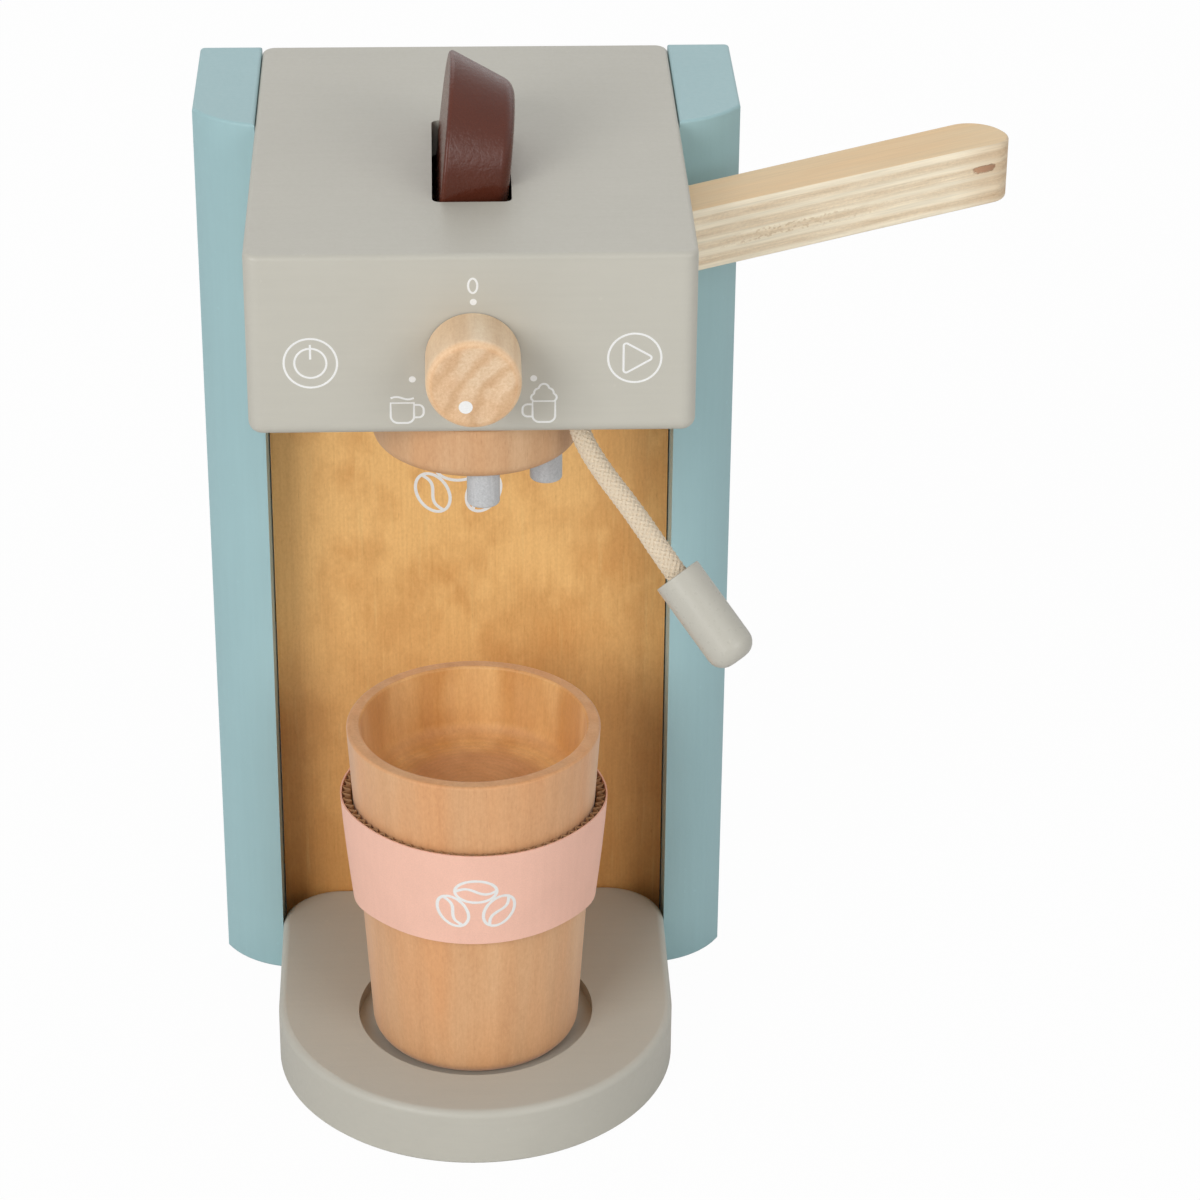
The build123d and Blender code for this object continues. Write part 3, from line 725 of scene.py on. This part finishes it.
def add_dot(bm, centre, radius, face_y):
    """A round printed dot on an upright face."""
    turn = Matrix.Rotation(pi / 2, 4, "X")
    place = Matrix.Translation((centre[0], face_y, centre[1])) @ turn
    bmesh.ops.create_cone(
        bm, cap_ends=True, segments=32, radius1=radius, radius2=radius, depth=INK_THICKNESS, matrix=place
    )


# ---------------------------------------------------------------- case
class OBJECT_OT_coffee_case(bpy.types.Operator):
    """Paint the boards, the head and the base, and finish the wood that shows round them"""

    bl_idname = "object.coffee_case"
    bl_label = "Finish the case"
    bl_options = {"REGISTER", "UNDO"}

    def execute(self, context):
        colours = context.scene.coffee_maker.paint
        woods = context.scene.coffee_maker.wood
        upright = (1, 1, 0.05)
        crosswise = (0.05, 1, 1)
        finishes = {
            paint("teal_paint", colours.teal, upright): ("left_side_board", "right_side_board"),
            paint("taupe_paint", colours.taupe, crosswise): (
                "base", "head_top_board", "head_front_board", "head_back_board", "head_left_wall",
                "head_right_wall", "head_bottom_board",
            ),
            veneer("panel_veneer", woods.veneer): ("back_panel",),
            timber("inner_wood", woods.inner, turn=(pi / 2, 0, 0)): (
                "capsule_shelf", "capsule_left_guide", "capsule_right_guide", "portafilter_hub",
                "portafilter_axle", "panel_dowels", "knob_axle",
            ),
            steel("zinc_steel"): ("head_screws", "base_screws", "knob_screw", "knob_washer"),
        }
        for material, nodes in finishes.items():
            for node in nodes:
                dress_node(node, material)
        return {"FINISHED"}


# ---------------------------------------------------------------- dial and prints
class OBJECT_OT_coffee_dial(bpy.types.Operator):
    """Turn the dial's wooden grip and print its dot"""

    bl_idname = "object.coffee_dial"
    bl_label = "Make the dial"
    bl_options = {"REGISTER", "UNDO"}

    def execute(self, context):
        settings = context.scene.coffee_maker
        low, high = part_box("knob")
        length_along = high.y - low.y
        radius = settings.turned.knob_radius
        bore_radius = 4.0 * mm
        bore_depth = 10.0 * mm
        back_rounding = 0.25 * mm
        front_rounding = 2.2 * mm
        profile = [
            (0, bore_depth), (bore_radius, bore_depth), (bore_radius, 0), (radius, 0),
            (radius, length_along), (0, length_along),
        ]
        pith = (24 * mm, 0, 208 * mm)
        wood = timber(
            "dial_wood", settings.wood.dial, turn=(pi / 2, 0, 0), pith=pith, ring=6.0 * mm, rings=0.75,
            pores=0.3, ends=0.22, rim=0.6,
        )
        turned(
            "turned_dial", "knob", "dial", wood, "turned_wood", profile,
            [(3, back_rounding), (4, front_rounding)], turn=Matrix.Rotation(pi / 2, 3, "X"),
        )
        dot_shift = Vector((-1.9 * mm, -5.2 * mm))
        centre = Vector(((low.x + high.x) / 2, (low.z + high.z) / 2)) + dot_shift
        bm = bmesh.new()
        add_dot(bm, centre, settings.print.dial_dot, low.y)
        ink = fibrous("white_ink", settings.paint.ink, 0.3 * mm, 0.004 * mm, rough=0.55)
        show(bm, "dial_dot", "dial", ink)
        return {"FINISHED"}


def power_symbol(centre, ring_radius):
    """A ring round a smaller ring that a short bar crosses at the top."""
    x, z = centre
    small = 0.60 * ring_radius
    bar = [(x, z + 0.76 * ring_radius), (x, z + 0.16 * ring_radius)]
    return [circle(centre, (ring_radius, ring_radius)), circle(centre, (small, small)), bar], (0, 1)


def start_symbol(centre, ring_radius):
    """A ring round a triangle with rounded corners that points right."""
    x, z = centre
    corner = 0.10 * ring_radius
    left = x - 0.42 * ring_radius
    right = x + 0.63 * ring_radius
    half = 0.60 * ring_radius
    triangle = (
        arc((left + corner, z + half - corner), (corner, corner), 180, 62, 5)
        + arc((right - corner, z), (corner, corner), 62, -62, 6)
        + arc((left + corner, z - half + corner), (corner, corner), -62, -180, 5)
    )
    return [circle(centre, (ring_radius, ring_radius)), triangle], (0, 1)


def mug_lines(left, right, top, bottom, corner):
    """A mug's outline: a straight rim and sides that round into its floor."""
    floor_left = arc((left + corner, bottom + corner), (corner, corner), 180, 270, 8)
    floor_right = arc((right - corner, bottom + corner), (corner, corner), 270, 360, 8)
    return [(left, top)] + floor_left + floor_right + [(right, top)]


def mug_handle(root, ends, bend, heights, radius, angles):
    """A mug's handle: from its upper end round two bends, whose angles are in degrees, to its lower end."""
    start, middle, end = angles
    upper = arc((bend, heights[0]), (radius, radius), start, middle, 5)
    lower = arc((bend, heights[1]), (radius, radius), middle, end, 5)
    return [(root, ends[0])] + upper + lower + [(root, ends[1])]


def coffee_symbol():
    """A low cup with its handle on the right and steam above."""
    left, right = -19.05 * mm, -13.6 * mm
    top, bottom = 212.7 * mm, 207.55 * mm
    corner = 1.7 * mm
    ends = (212.2 * mm, 208.95 * mm)
    bend = -12.6 * mm
    heights = (210.95 * mm, 210.2 * mm)
    handle = mug_handle(right, ends, bend, heights, 1.25 * mm, (75, 0, -75))
    steam_height = 213.95 * mm
    steam_rise = 0.32 * mm
    steam = [
        (left + (right - left) * share, steam_height + steam_rise * sin(2 * pi * share))
        for share in (step / 16 for step in range(17))
    ]
    return [mug_lines(left, right, top, bottom, corner), handle, steam], (0,)


def cream_symbol():
    """A taller cup with its handle on the left and whipped cream on top."""
    left, right = 14.1 * mm, 19.4 * mm
    top, bottom = 212.85 * mm, 207.45 * mm
    corner = 1.6 * mm
    ends = (212.05 * mm, 208.9 * mm)
    bend = 12.95 * mm
    heights = (210.85 * mm, 210.1 * mm)
    handle = mug_handle(left, ends, bend, heights, 1.2 * mm, (95, 180, 265))
    middle = (left + right) / 2
    scoops = ((2.05, 0.95, 0.95, -60, 40), (1.05, 2.10, 1.25, -5, 55), (0.0, 3.25, 1.20, 8, 88))
    cream_right = []
    for aside, rise, radius, start, end in scoops:
        place = (middle + aside * mm, top + rise * mm)
        cream_right += arc(place, (radius * mm, radius * mm), start, end, 5)
    cream_left = [(2 * middle - x, z) for x, z in reversed(cream_right)]
    cream = [(right, top)] + cream_right + cream_left + [(left, top)]
    return [mug_lines(left, right, top, bottom, corner), handle, cream], (0,)


def coffee_bean(centre, bean_length, lean):
    """A coffee bean's outline and its curved seam, leaning by an angle in degrees."""
    half = bean_length / 2
    shares = [1 - step / 10 for step in range(21)]
    seam = [(0.17 * half * sin(pi * share), 0.97 * half * share) for share in shares]
    turn = Matrix.Rotation(radians(lean), 2)
    lines = (circle((0, 0), (0.68 * half, half), 40), seam)
    return [[Vector(centre) + turn @ Vector(point) for point in line] for line in lines]


def bean_motif(centre, bean_length):
    """Three beans that lean together, as lines and the numbers of the closed ones."""
    step = 0.56 * bean_length
    places = (((-step, -0.34 * step), 28), ((step, -0.34 * step), -28), ((0, 0.80 * step), 90))
    lines = []
    for (x, z), lean in places:
        lines += coffee_bean((centre[0] + x, centre[1] + z), bean_length, lean)
    return lines, tuple(range(0, len(lines), 2))


def flat_print(drawings, width, name, face_y):
    """Drawings as flat lines of ink on an upright face."""
    bm = bmesh.new()
    for number, (lines, closed) in enumerate(drawings):
        mesh = strokes(lines, width, f"{name}_{number}", closed)
        bm.from_mesh(mesh)
        bpy.data.meshes.remove(mesh)
    bmesh.ops.scale(bm, vec=(1, INK_THICKNESS / width, 1), verts=bm.verts)
    bmesh.ops.translate(bm, vec=(0, face_y, 0), verts=bm.verts)
    return bm


class OBJECT_OT_coffee_prints(bpy.types.Operator):
    """Print the symbols on the head and the bean motif on the back panel"""

    bl_idname = "object.coffee_prints"
    bl_label = "Print the symbols"
    bl_options = {"REGISTER", "UNDO"}

    def execute(self, context):
        prints = context.scene.coffee_maker.print
        ink = bpy.data.materials["white_ink"]
        show(self.head_symbols(prints), "head_symbols", "case", ink, weighted=False)
        panel_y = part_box("back_panel")[0].y
        motif_place = (-3.1 * mm, 142.2 * mm)
        motif = bean_motif(motif_place, prints.bean_length)
        bm = flat_print([motif], prints.motif_line, "panel_motif", panel_y)
        show(bm, "panel_motif", "case", ink, weighted=False)
        return {"FINISHED"}

    def head_symbols(self, prints):
        """A nought, three dots and four symbols on the front of the head."""
        face_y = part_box("head_front_board")[0].y
        zero_place = (0.33 * mm, 242.33 * mm)
        zero_radii = (1.05 * mm, 1.8 * mm)
        power_place = (-37.47 * mm, 223.11 * mm)
        start_place = (37.88 * mm, 223.73 * mm)
        mark_places = ((0.42 * mm, 238.27 * mm), (-13.9 * mm, 218.78 * mm), (14.36 * mm, 218.75 * mm))
        drawings = [
            ([circle(zero_place, zero_radii)], (0,)),
            power_symbol(power_place, prints.ring_radius),
            start_symbol(start_place, prints.ring_radius),
            coffee_symbol(),
            cream_symbol(),
        ]
        bm = flat_print(drawings, prints.line, "head_symbols", face_y)
        for place in mark_places:
            add_dot(bm, place, prints.mark_dot, face_y)
        return bm


# ---------------------------------------------------------------- capsule
class OBJECT_OT_coffee_capsule(bpy.types.Operator):
    """Turn the coffee capsule that stands in the lid's slot"""

    bl_idname = "object.coffee_capsule"
    bl_label = "Make the capsule"
    bl_options = {"REGISTER", "UNDO"}

    def execute(self, context):
        settings = context.scene.coffee_maker
        broad = settings.turned.capsule_radius
        taper = 6.9 * mm
        small = broad - taper
        deep = 16.5 * mm
        broad_rounding = 0.9 * mm
        small_rounding = 4.2 * mm
        lean = radians(6.1)
        turned(
            "coffee_capsule", "capsule", "capsule", gloss("capsule_gloss", settings.paint.brown),
            "capsule_brown", [(0, 0), (broad, 0), (small, deep), (0, deep)],
            [(1, broad_rounding), (2, small_rounding)], FINE_STEPS, Matrix.Rotation(pi / 2 + lean, 3, "Y"),
        )
        return {"FINISHED"}


# ---------------------------------------------------------------- portafilter
class OBJECT_OT_coffee_portafilter(bpy.types.Operator):
    """Turn the bowl and the spouts, and finish the plywood handle"""

    bl_idname = "object.coffee_portafilter"
    bl_label = "Make the portafilter"
    bl_options = {"REGISTER", "UNDO"}

    def execute(self, context):
        settings = context.scene.coffee_maker
        self.make_bowl(settings)
        self.make_spouts(settings)
        low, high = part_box("portafilter_handle")
        plies = plywood("handle_plies", settings.wood.handle, settings.wood.plies, low.z, high.z)
        dress_node("portafilter_handle", plies)
        return {"FINISHED"}

    def make_bowl(self, settings):
        """The round bowl, bored from above for its axle."""
        low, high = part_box("portafilter_bowl")
        radius = settings.turned.bowl_radius
        thick = high.z - low.z
        axle_radius = 4.0 * mm
        axle_floor = 4.3 * mm
        low_rounding = 3.5 * mm
        top_rounding = 0.8 * mm
        profile = [
            (0, 0), (radius, 0), (radius, thick), (axle_radius, thick), (axle_radius, axle_floor),
            (0, axle_floor),
        ]
        pith = (70 * mm, 90 * mm, 0)
        wood = timber("bowl_wood", settings.wood.bowl, pith=pith, ring=5 * mm, rings=0.3, pores=0.6)
        turned(
            "turned_bowl", "portafilter_bowl", "portafilter", wood, "turned_wood", profile,
            [(1, low_rounding), (2, top_rounding)],
        )

    def make_spouts(self, settings):
        """The two silver spouts."""
        silver = metallic_paint("spout_silver", settings.paint.silver)
        radius = settings.turned.spout_radius
        end_rounding = 0.6 * mm
        for node in ("spout_left", "spout_right"):
            low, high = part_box(node)
            reach = high.z - low.z
            profile = [(0, 0), (radius, 0), (radius, reach), (0, reach)]
            turned(
                f"silver_{node}", node, "portafilter", silver, "spout_silver", profile,
                [(1, end_rounding)], SLIM_STEPS,
            )


# ---------------------------------------------------------------- cup
def cup_radius(settings, height):
    """The cup's outer radius at a height of the scene."""
    share = (height - cup_low.z) / cup_height
    sizes = settings.turned
    return sizes.cup_foot_radius + (sizes.cup_rim_radius - sizes.cup_foot_radius) * share


class OBJECT_OT_coffee_cup(bpy.types.Operator):
    """Turn the wooden cup, with a coved hollow and the tool's lines on its floor"""

    bl_idname = "object.coffee_cup"
    bl_label = "Make the cup"
    bl_options = {"REGISTER", "UNDO"}

    def execute(self, context):
        settings = context.scene.coffee_maker
        sizes = settings.turned
        floor = cup_height - sizes.cup_depth
        rim = sizes.cup_rim_radius
        inner_rim = rim - sizes.cup_wall
        inner_floor = cup_radius(settings, cup_low.z + floor) - sizes.cup_wall
        profile = [
            (0, 0), (sizes.cup_foot_radius, 0), (rim, cup_height), (inner_rim, cup_height),
            (inner_floor, floor),
        ]
        reach = inner_floor - sizes.cup_cove - sizes.turning_pitch
        lines = int(reach / sizes.turning_pitch)
        ridge = 0.07 * mm
        for number in range(lines):
            profile.append((reach * (1 - number / lines), floor + ridge * (number % 2)))
        profile.append((0, floor))
        foot_rounding = 4.0 * mm
        rim_rounding = 0.8 * mm
        roundings = [(1, foot_rounding), (2, rim_rounding), (3, rim_rounding), (4, sizes.cup_cove)]
        golden_radius = inner_rim + 0.4 * mm
        golden_height = cup_low.z + floor - 1.0 * mm
        # ends below 0 lightens the faces that point up and down: a painted highlight on the rim's top and
        # the hollow's floor
        wood = timber(
            "cup_wood", settings.wood.cup, pith=(85 * mm, 60 * mm, 0), ring=7 * mm, rings=0.28,
            streaks=1.2, pores=0.4, ends=-0.07, sheen=0.3, hollow=(golden_radius, golden_height),
        )
        turned("turned_cup", "cup", "cup", wood, "cup_wood", profile, roundings, FINE_STEPS)
        return {"FINISHED"}


# ---------------------------------------------------------------- sleeve
def sleeve_point(settings, angle, share, depth, offset=0.0):
    """A point of the sleeve, at a share of its height and of the fluted layer's thickness, and past that.

    The sleeve was once folded flat, so it has a crease on its left and on its right.
    """
    sleeve = settings.sleeve
    crease_sharpness = 9
    crease = abs(cos(angle)) ** crease_sharpness
    low = sleeve_low.z + sleeve.front_rise - sleeve.low_sag * crease
    askew = cup_radius(settings, sleeve_high.z) * cos(angle) * tan(sleeve.tilt)
    high = sleeve_high.z - sleeve.high_sag * crease - askew
    height = low + (high - low) * share
    layer = sleeve.fluting + (sleeve.crease_reach + sleeve.crease_flare * sin(pi / 2 * share)) * crease
    radius = cup_radius(settings, height) + sleeve.clearance + layer * depth + offset
    return Vector((cup_axis.x + radius * cos(angle), cup_axis.y + radius * sin(angle), height))


def band(steps, corner, rows=4):
    """A closed ring that is thin and tall, with each point where corner(angle, share, outside) says."""
    shares = [row / rows for row in range(rows + 1)]
    sides = [(0.9, share) for share in shares] + [(1.1, share) for share in reversed(shares)]
    bm = spin(sides, steps, closed=True)
    for vert in bm.verts:
        outside = hypot(vert.co.x, vert.co.y) > 1
        vert.co = corner(atan2(vert.co.y, vert.co.x), vert.co.z, outside)
    bmesh.ops.recalc_face_normals(bm, faces=bm.faces)
    return bm


class OBJECT_OT_coffee_sleeve(bpy.types.Operator):
    """Make the card sleeve: corrugated card, printed paper and the bean motif"""

    bl_idname = "object.coffee_sleeve"
    bl_label = "Make the sleeve"
    bl_options = {"REGISTER", "UNDO"}

    def execute(self, context):
        settings = context.scene.coffee_maker
        sleeve = settings.sleeve
        steps = sleeve.flutes * 8
        half_card = sleeve.card / 2
        swing = 0.5 - half_card / sleeve.fluting
        lap = sleeve.overlap / cup_radius(settings, sleeve_high.z)

        def flute(angle, share, outside):
            depth = 0.5 + swing * sin(sleeve.flutes * angle)
            return sleeve_point(settings, angle, share, depth, half_card if outside else -half_card)

        def sheet(angle, share, outside):
            offset = sleeve.washboard * sin(sleeve.flutes * angle)
            if outside:
                offset += sleeve.paper * (2 if 0 < angle - pi / 2 < lap else 1)
            return sleeve_point(settings, angle, share, 1, offset)

        card = fibrous("bare_card", settings.paint.card, 0.4 * mm, 0.03 * mm)
        show(band(steps, flute), "card_fluting", "sleeve", card, ["sleeve_fluting"])
        printed = fibrous("printed_paper", settings.paint.pink, 0.35 * mm, 0.012 * mm, rough=0.8)
        show(band(steps, sheet), "printed_wrap", "sleeve", printed, ["sleeve_paper"])
        self.print_motif(settings)
        return {"FINISHED"}

    def print_motif(self, settings):
        """Wrap the bean motif round the front of the paper."""
        prints = settings.print
        offset = settings.sleeve.paper + settings.sleeve.washboard / 2
        lines, closed = bean_motif((0, 0), prints.small_bean_length)
        mesh = strokes(lines, prints.small_motif_line, "sleeve_motif", closed)
        middle = 0.44
        tall = sleeve_high.z - sleeve_low.z
        radius = cup_radius(settings, (sleeve_low.z + sleeve_high.z) / 2)
        for vert in mesh.vertices:
            angle = -pi / 2 + vert.co.x / radius
            lift = vert.co.y * INK_THICKNESS / prints.small_motif_line
            vert.co = sleeve_point(settings, angle, middle + vert.co.z / tall, 1, offset - lift)
        ink = bpy.data.materials["white_ink"]
        show(mesh, "sleeve_motif", "sleeve", ink, weighted=False)


# ---------------------------------------------------------------- rope frother
def rope_line():
    """The rope's smooth line: points read from the spline that its route controls."""
    curve = bpy.data.curves.new("rope_route", "CURVE")
    curve.dimensions = "3D"
    curve.resolution_u = 40
    spline = curve.splines.new("NURBS")
    spline.points.add(len(ROPE_ROUTE_MM) - 1)
    for point, place in zip(spline.points, ROPE_ROUTE_MM):
        point.co = (*(Vector(place) * mm), 1)
    spline.order_u = 3
    spline.use_endpoint_u = True
    line = mesh_from_curve(curve, "rope_line")
    points = [vert.co.copy() for vert in line.vertices]
    bpy.data.meshes.remove(line)
    return points


def along_line(points):
    """Distances along a line of points, and a frame at each that doesn't twist."""
    distances = [0.0]
    for before, after in zip(points, points[1:]):
        distances.append(distances[-1] + (after - before).length)
    side = (points[1] - points[0]).orthogonal().normalized()
    frames = []
    for index in range(len(points)):
        ahead = points[min(index + 1, len(points) - 1)] - points[max(index - 1, 0)]
        ahead.normalize()
        side = (side - ahead * side.dot(ahead)).normalized()
        frames.append((side, ahead.cross(side)))
    return distances, frames


class OBJECT_OT_coffee_frother(bpy.types.Operator):
    """Braid the rope along its route and turn the nozzle on its end"""

    bl_idname = "object.coffee_frother"
    bl_label = "Make the rope frother"
    bl_options = {"REGISTER", "UNDO"}

    def execute(self, context):
        settings = context.scene.coffee_maker
        rope = settings.rope
        nozzle = self.make_nozzle(settings)
        points = rope_line()
        distances, frames = along_line(points)
        mesh = self.braid(rope, points, distances, frames)
        cotton = fibrous("rope_cotton", settings.paint.cotton, 0.25 * mm, 0.05 * mm, sheen=0.25)
        piece = show(mesh, "braided_rope", "case", cotton, ["frother_rope"], weighted=False)
        2 * rope.radius
        return {"FINISHED"}

    def braid(self, rope, points, distances, frames):
        """Strands that wind both ways round a core, and pass over and under each other."""
        curve = bpy.data.curves.new("braided_rope", "CURVE")
        curve.dimensions = "3D"
        curve.bevel_depth = 1.0
        curve.bevel_resolution = 1
        middle = rope.radius - rope.strand_radius - rope.weave
        drawn = [rope.drawn + (1 - rope.drawn) * distance / distances[-1] for distance in distances]
        crossings = 2 * rope.strands
        for way in (1, -1):
            for number in range(rope.strands):
                strand = []
                for point, distance, share, (side, up) in zip(points, distances, drawn, frames):
                    turns = distance / rope.braid_pitch
                    angle = 2 * pi * (way * turns + number / rope.strands)
                    radius = share * (middle + way * rope.weave * cos(pi * crossings * turns))
                    strand.append(point + radius * (cos(angle) * side + sin(angle) * up))
                self.add_strand(curve, strand, [rope.strand_radius * share for share in drawn])
        self.add_strand(curve, points, [middle * share for share in drawn])
        return mesh_from_curve(curve, "braided_rope")

    def add_strand(self, curve, points, radii):
        """Add one strand to a curve whose bevel is one metre and is scaled by each point."""
        spline = curve.splines.new("POLY")
        spline.points.add(len(points) - 1)
        for place, radius, point in zip(points, radii, spline.points):
            point.co = (*place, 1)
            point.radius = radius

    def make_nozzle(self, settings):
        """The painted nozzle, bored for the rope, in line with the route's last run."""
        radius = settings.turned.nozzle_radius
        tall = 25.0 * mm
        bore = settings.rope.radius + 0.45 * mm
        bore_depth = 10.0 * mm
        mouth_rounding = 0.3 * mm
        shoulder_rounding = 0.35 * mm
        tip_rounding = 4.0 * mm
        profile = [(0, bore_depth), (bore, bore_depth), (bore, 0), (radius, 0), (radius, tall), (0, tall)]
        last = Vector(ROPE_ROUTE_MM[-1]) - Vector(ROPE_ROUTE_MM[-2])
        taupe = paint("nozzle_paint", settings.paint.taupe, (1, 1, 0.3), smooth=0.26)
        return turned(
            "turned_nozzle", "frother_nozzle", "case", taupe, "taupe_paint", profile,
            [(2, mouth_rounding), (3, shoulder_rounding), (4, tip_rounding)],
            turn=Z_AXIS.rotation_difference(last).to_matrix(),
        )


# ---------------------------------------------------------------- stage
class SCENE_OT_coffee_stage(bpy.types.Operator):
    """Set up the pale floor, the soft light and the camera"""

    bl_idname = "scene.coffee_stage"
    bl_label = "Set the stage"
    bl_options = {"REGISTER", "UNDO"}

    def execute(self, context):
        stage = context.scene.coffee_maker.stage
        self.add_floor(stage)
        self.set_world(context.scene, stage)
        self.add_softbox("key_box", azimuth=-38, elevation=24, distance=2.0, size=1.0, share=stage.key)
        self.add_softbox("fill_box", azimuth=38, elevation=24, distance=2.0, size=1.0, share=stage.fill)
        self.add_softbox("top_box", azimuth=180, elevation=52, distance=1.5, size=1.2, share=stage.top)
        self.add_camera(context.scene, stage)
        context.scene.view_settings.view_transform = "Standard"
        return {"FINISHED"}

    def add_floor(self, stage):
        """A wide floor that renders almost white and keeps the shadow."""
        bm = bmesh.new()
        bmesh.ops.create_grid(bm, x_segments=1, y_segments=1, size=6.0)
        floor = bpy.data.objects.new("floor", mesh_of(bm, "floor"))
        bpy.context.scene.collection.objects.link(floor)
        material = bpy.data.materials.new("floor_white")
        wiring = Wiring(material)
        board = wiring.node("ShaderNodeBsdfPrincipled", {"Base Color": (0.75, 0.75, 0.75), "Roughness": 0.9})
        glow = wiring.node("ShaderNodeEmission", {"Strength": 1.0})
        seen = Field(wiring, wiring.node("ShaderNodeLightPath").outputs["Is Camera Ray"])
        shaders = {0: seen * stage.floor_glow, 1: board.outputs[0], 2: glow.outputs[0]}
        mixed = wiring.node("ShaderNodeMixShader", shaders)
        wiring.node("ShaderNodeOutputMaterial", {"Surface": mixed.outputs[0]})
        floor.data.materials.append(material)

    def set_world(self, scene, stage):
        """Even light from all round, and white where the camera or a reflection sees past the floor."""
        scene.world = bpy.data.worlds.new("white_room")
        wiring = Wiring(scene.world)
        rays = wiring.node("ShaderNodeLightPath").outputs
        seen = Field(wiring, rays["Is Camera Ray"])
        plain = seen.math("MAXIMUM", rays["Is Glossy Ray"]).math("MAXIMUM", rays["Is Transmission Ray"])
        strength = plain.spread(0.0, 1.0, stage.ambient, 1.0)
        room = wiring.node("ShaderNodeBackground", {"Color": (1, 1, 1), "Strength": strength})
        wiring.node("ShaderNodeOutputWorld", {"Surface": room.outputs[0]})

    def add_softbox(self, name, azimuth, elevation, distance, size, share):
        """A large square lamp aimed at the object, which gives a share of the plain level."""
        lamp = bpy.data.lights.new(name, "AREA")
        lamp.size = size
        lamp.energy = share * 4 * pi * distance ** 2
        turn = Matrix.Rotation(radians(azimuth), 3, "Z") @ Matrix.Rotation(-radians(elevation), 3, "X")
        reach = turn @ Vector((0, -distance, 0))
        box = bpy.data.objects.new(name, lamp)
        box.location = (cad_box[0] + cad_box[1]) / 2 + reach
        box.rotation_euler = (-reach).to_track_quat("-Z", "Y").to_euler()
        bpy.context.scene.collection.objects.link(box)

    def add_camera(self, scene, stage):
        """The camera, which looks down at the front."""
        data = bpy.data.cameras.new("camera")
        data.sensor_width = 36.0
        data.lens = stage.camera_lens
        data.shift_x, data.shift_y = stage.camera_shift
        camera = bpy.data.objects.new("camera", data)
        turn = Matrix.Rotation(-stage.camera_yaw, 4, "Z")
        turn @= Matrix.Rotation(pi / 2 - stage.camera_pitch, 4, "X")
        turn @= Matrix.Rotation(stage.camera_roll, 4, "Z")
        camera.matrix_world = Matrix.Translation(stage.camera_place) @ turn
        scene.collection.objects.link(camera)
        scene.camera = camera


# ---------------------------------------------------------------- panel and registration
OPERATORS = (
    SCENE_OT_coffee_stage,
    OBJECT_OT_coffee_frother,
    OBJECT_OT_coffee_case,
    OBJECT_OT_coffee_dial,
    OBJECT_OT_coffee_prints,
    OBJECT_OT_coffee_capsule,
    OBJECT_OT_coffee_portafilter,
    OBJECT_OT_coffee_cup,
    OBJECT_OT_coffee_sleeve,
)


class VIEW3D_PT_coffee_maker(bpy.types.Panel):
    """Lists the coffee maker's settings and the steps that make it"""

    bl_label = "Coffee maker"
    bl_space_type = "VIEW_3D"
    bl_region_type = "UI"
    bl_category = "Coffee maker"

    def draw(self, context):
        settings = context.scene.coffee_maker
        for group in (
            settings.paint, settings.wood, settings.turned, settings.sleeve, settings.print, settings.rope,
            settings.stage,
        ):
            box = self.layout.box()
            for name in group.__annotations__:
                box.prop(group, name)
        for operator in OPERATORS:
            self.layout.operator(operator.bl_idname)


CLASSES = (
    PaintSettings, WoodSettings, TurnedSettings, SleeveSettings, PrintSettings, RopeSettings, StageSettings,
    CoffeeMakerSettings, *OPERATORS, VIEW3D_PT_coffee_maker,
)


def register():
    for each in CLASSES:
        bpy.utils.register_class(each)
    bpy.types.Scene.coffee_maker = PointerProperty(type=CoffeeMakerSettings)


def unregister():
    del bpy.types.Scene.coffee_maker
    for each in reversed(CLASSES):
        bpy.utils.unregister_class(each)


def main():
    register()
    bpy.ops.scene.coffee_stage()
    bpy.ops.object.coffee_frother()
    bpy.ops.object.coffee_case()
    bpy.ops.object.coffee_dial()
    bpy.ops.object.coffee_prints()
    bpy.ops.object.coffee_capsule()
    bpy.ops.object.coffee_portafilter()
    bpy.ops.object.coffee_cup()
    bpy.ops.object.coffee_sleeve()


if __name__ == "__main__":
    main()
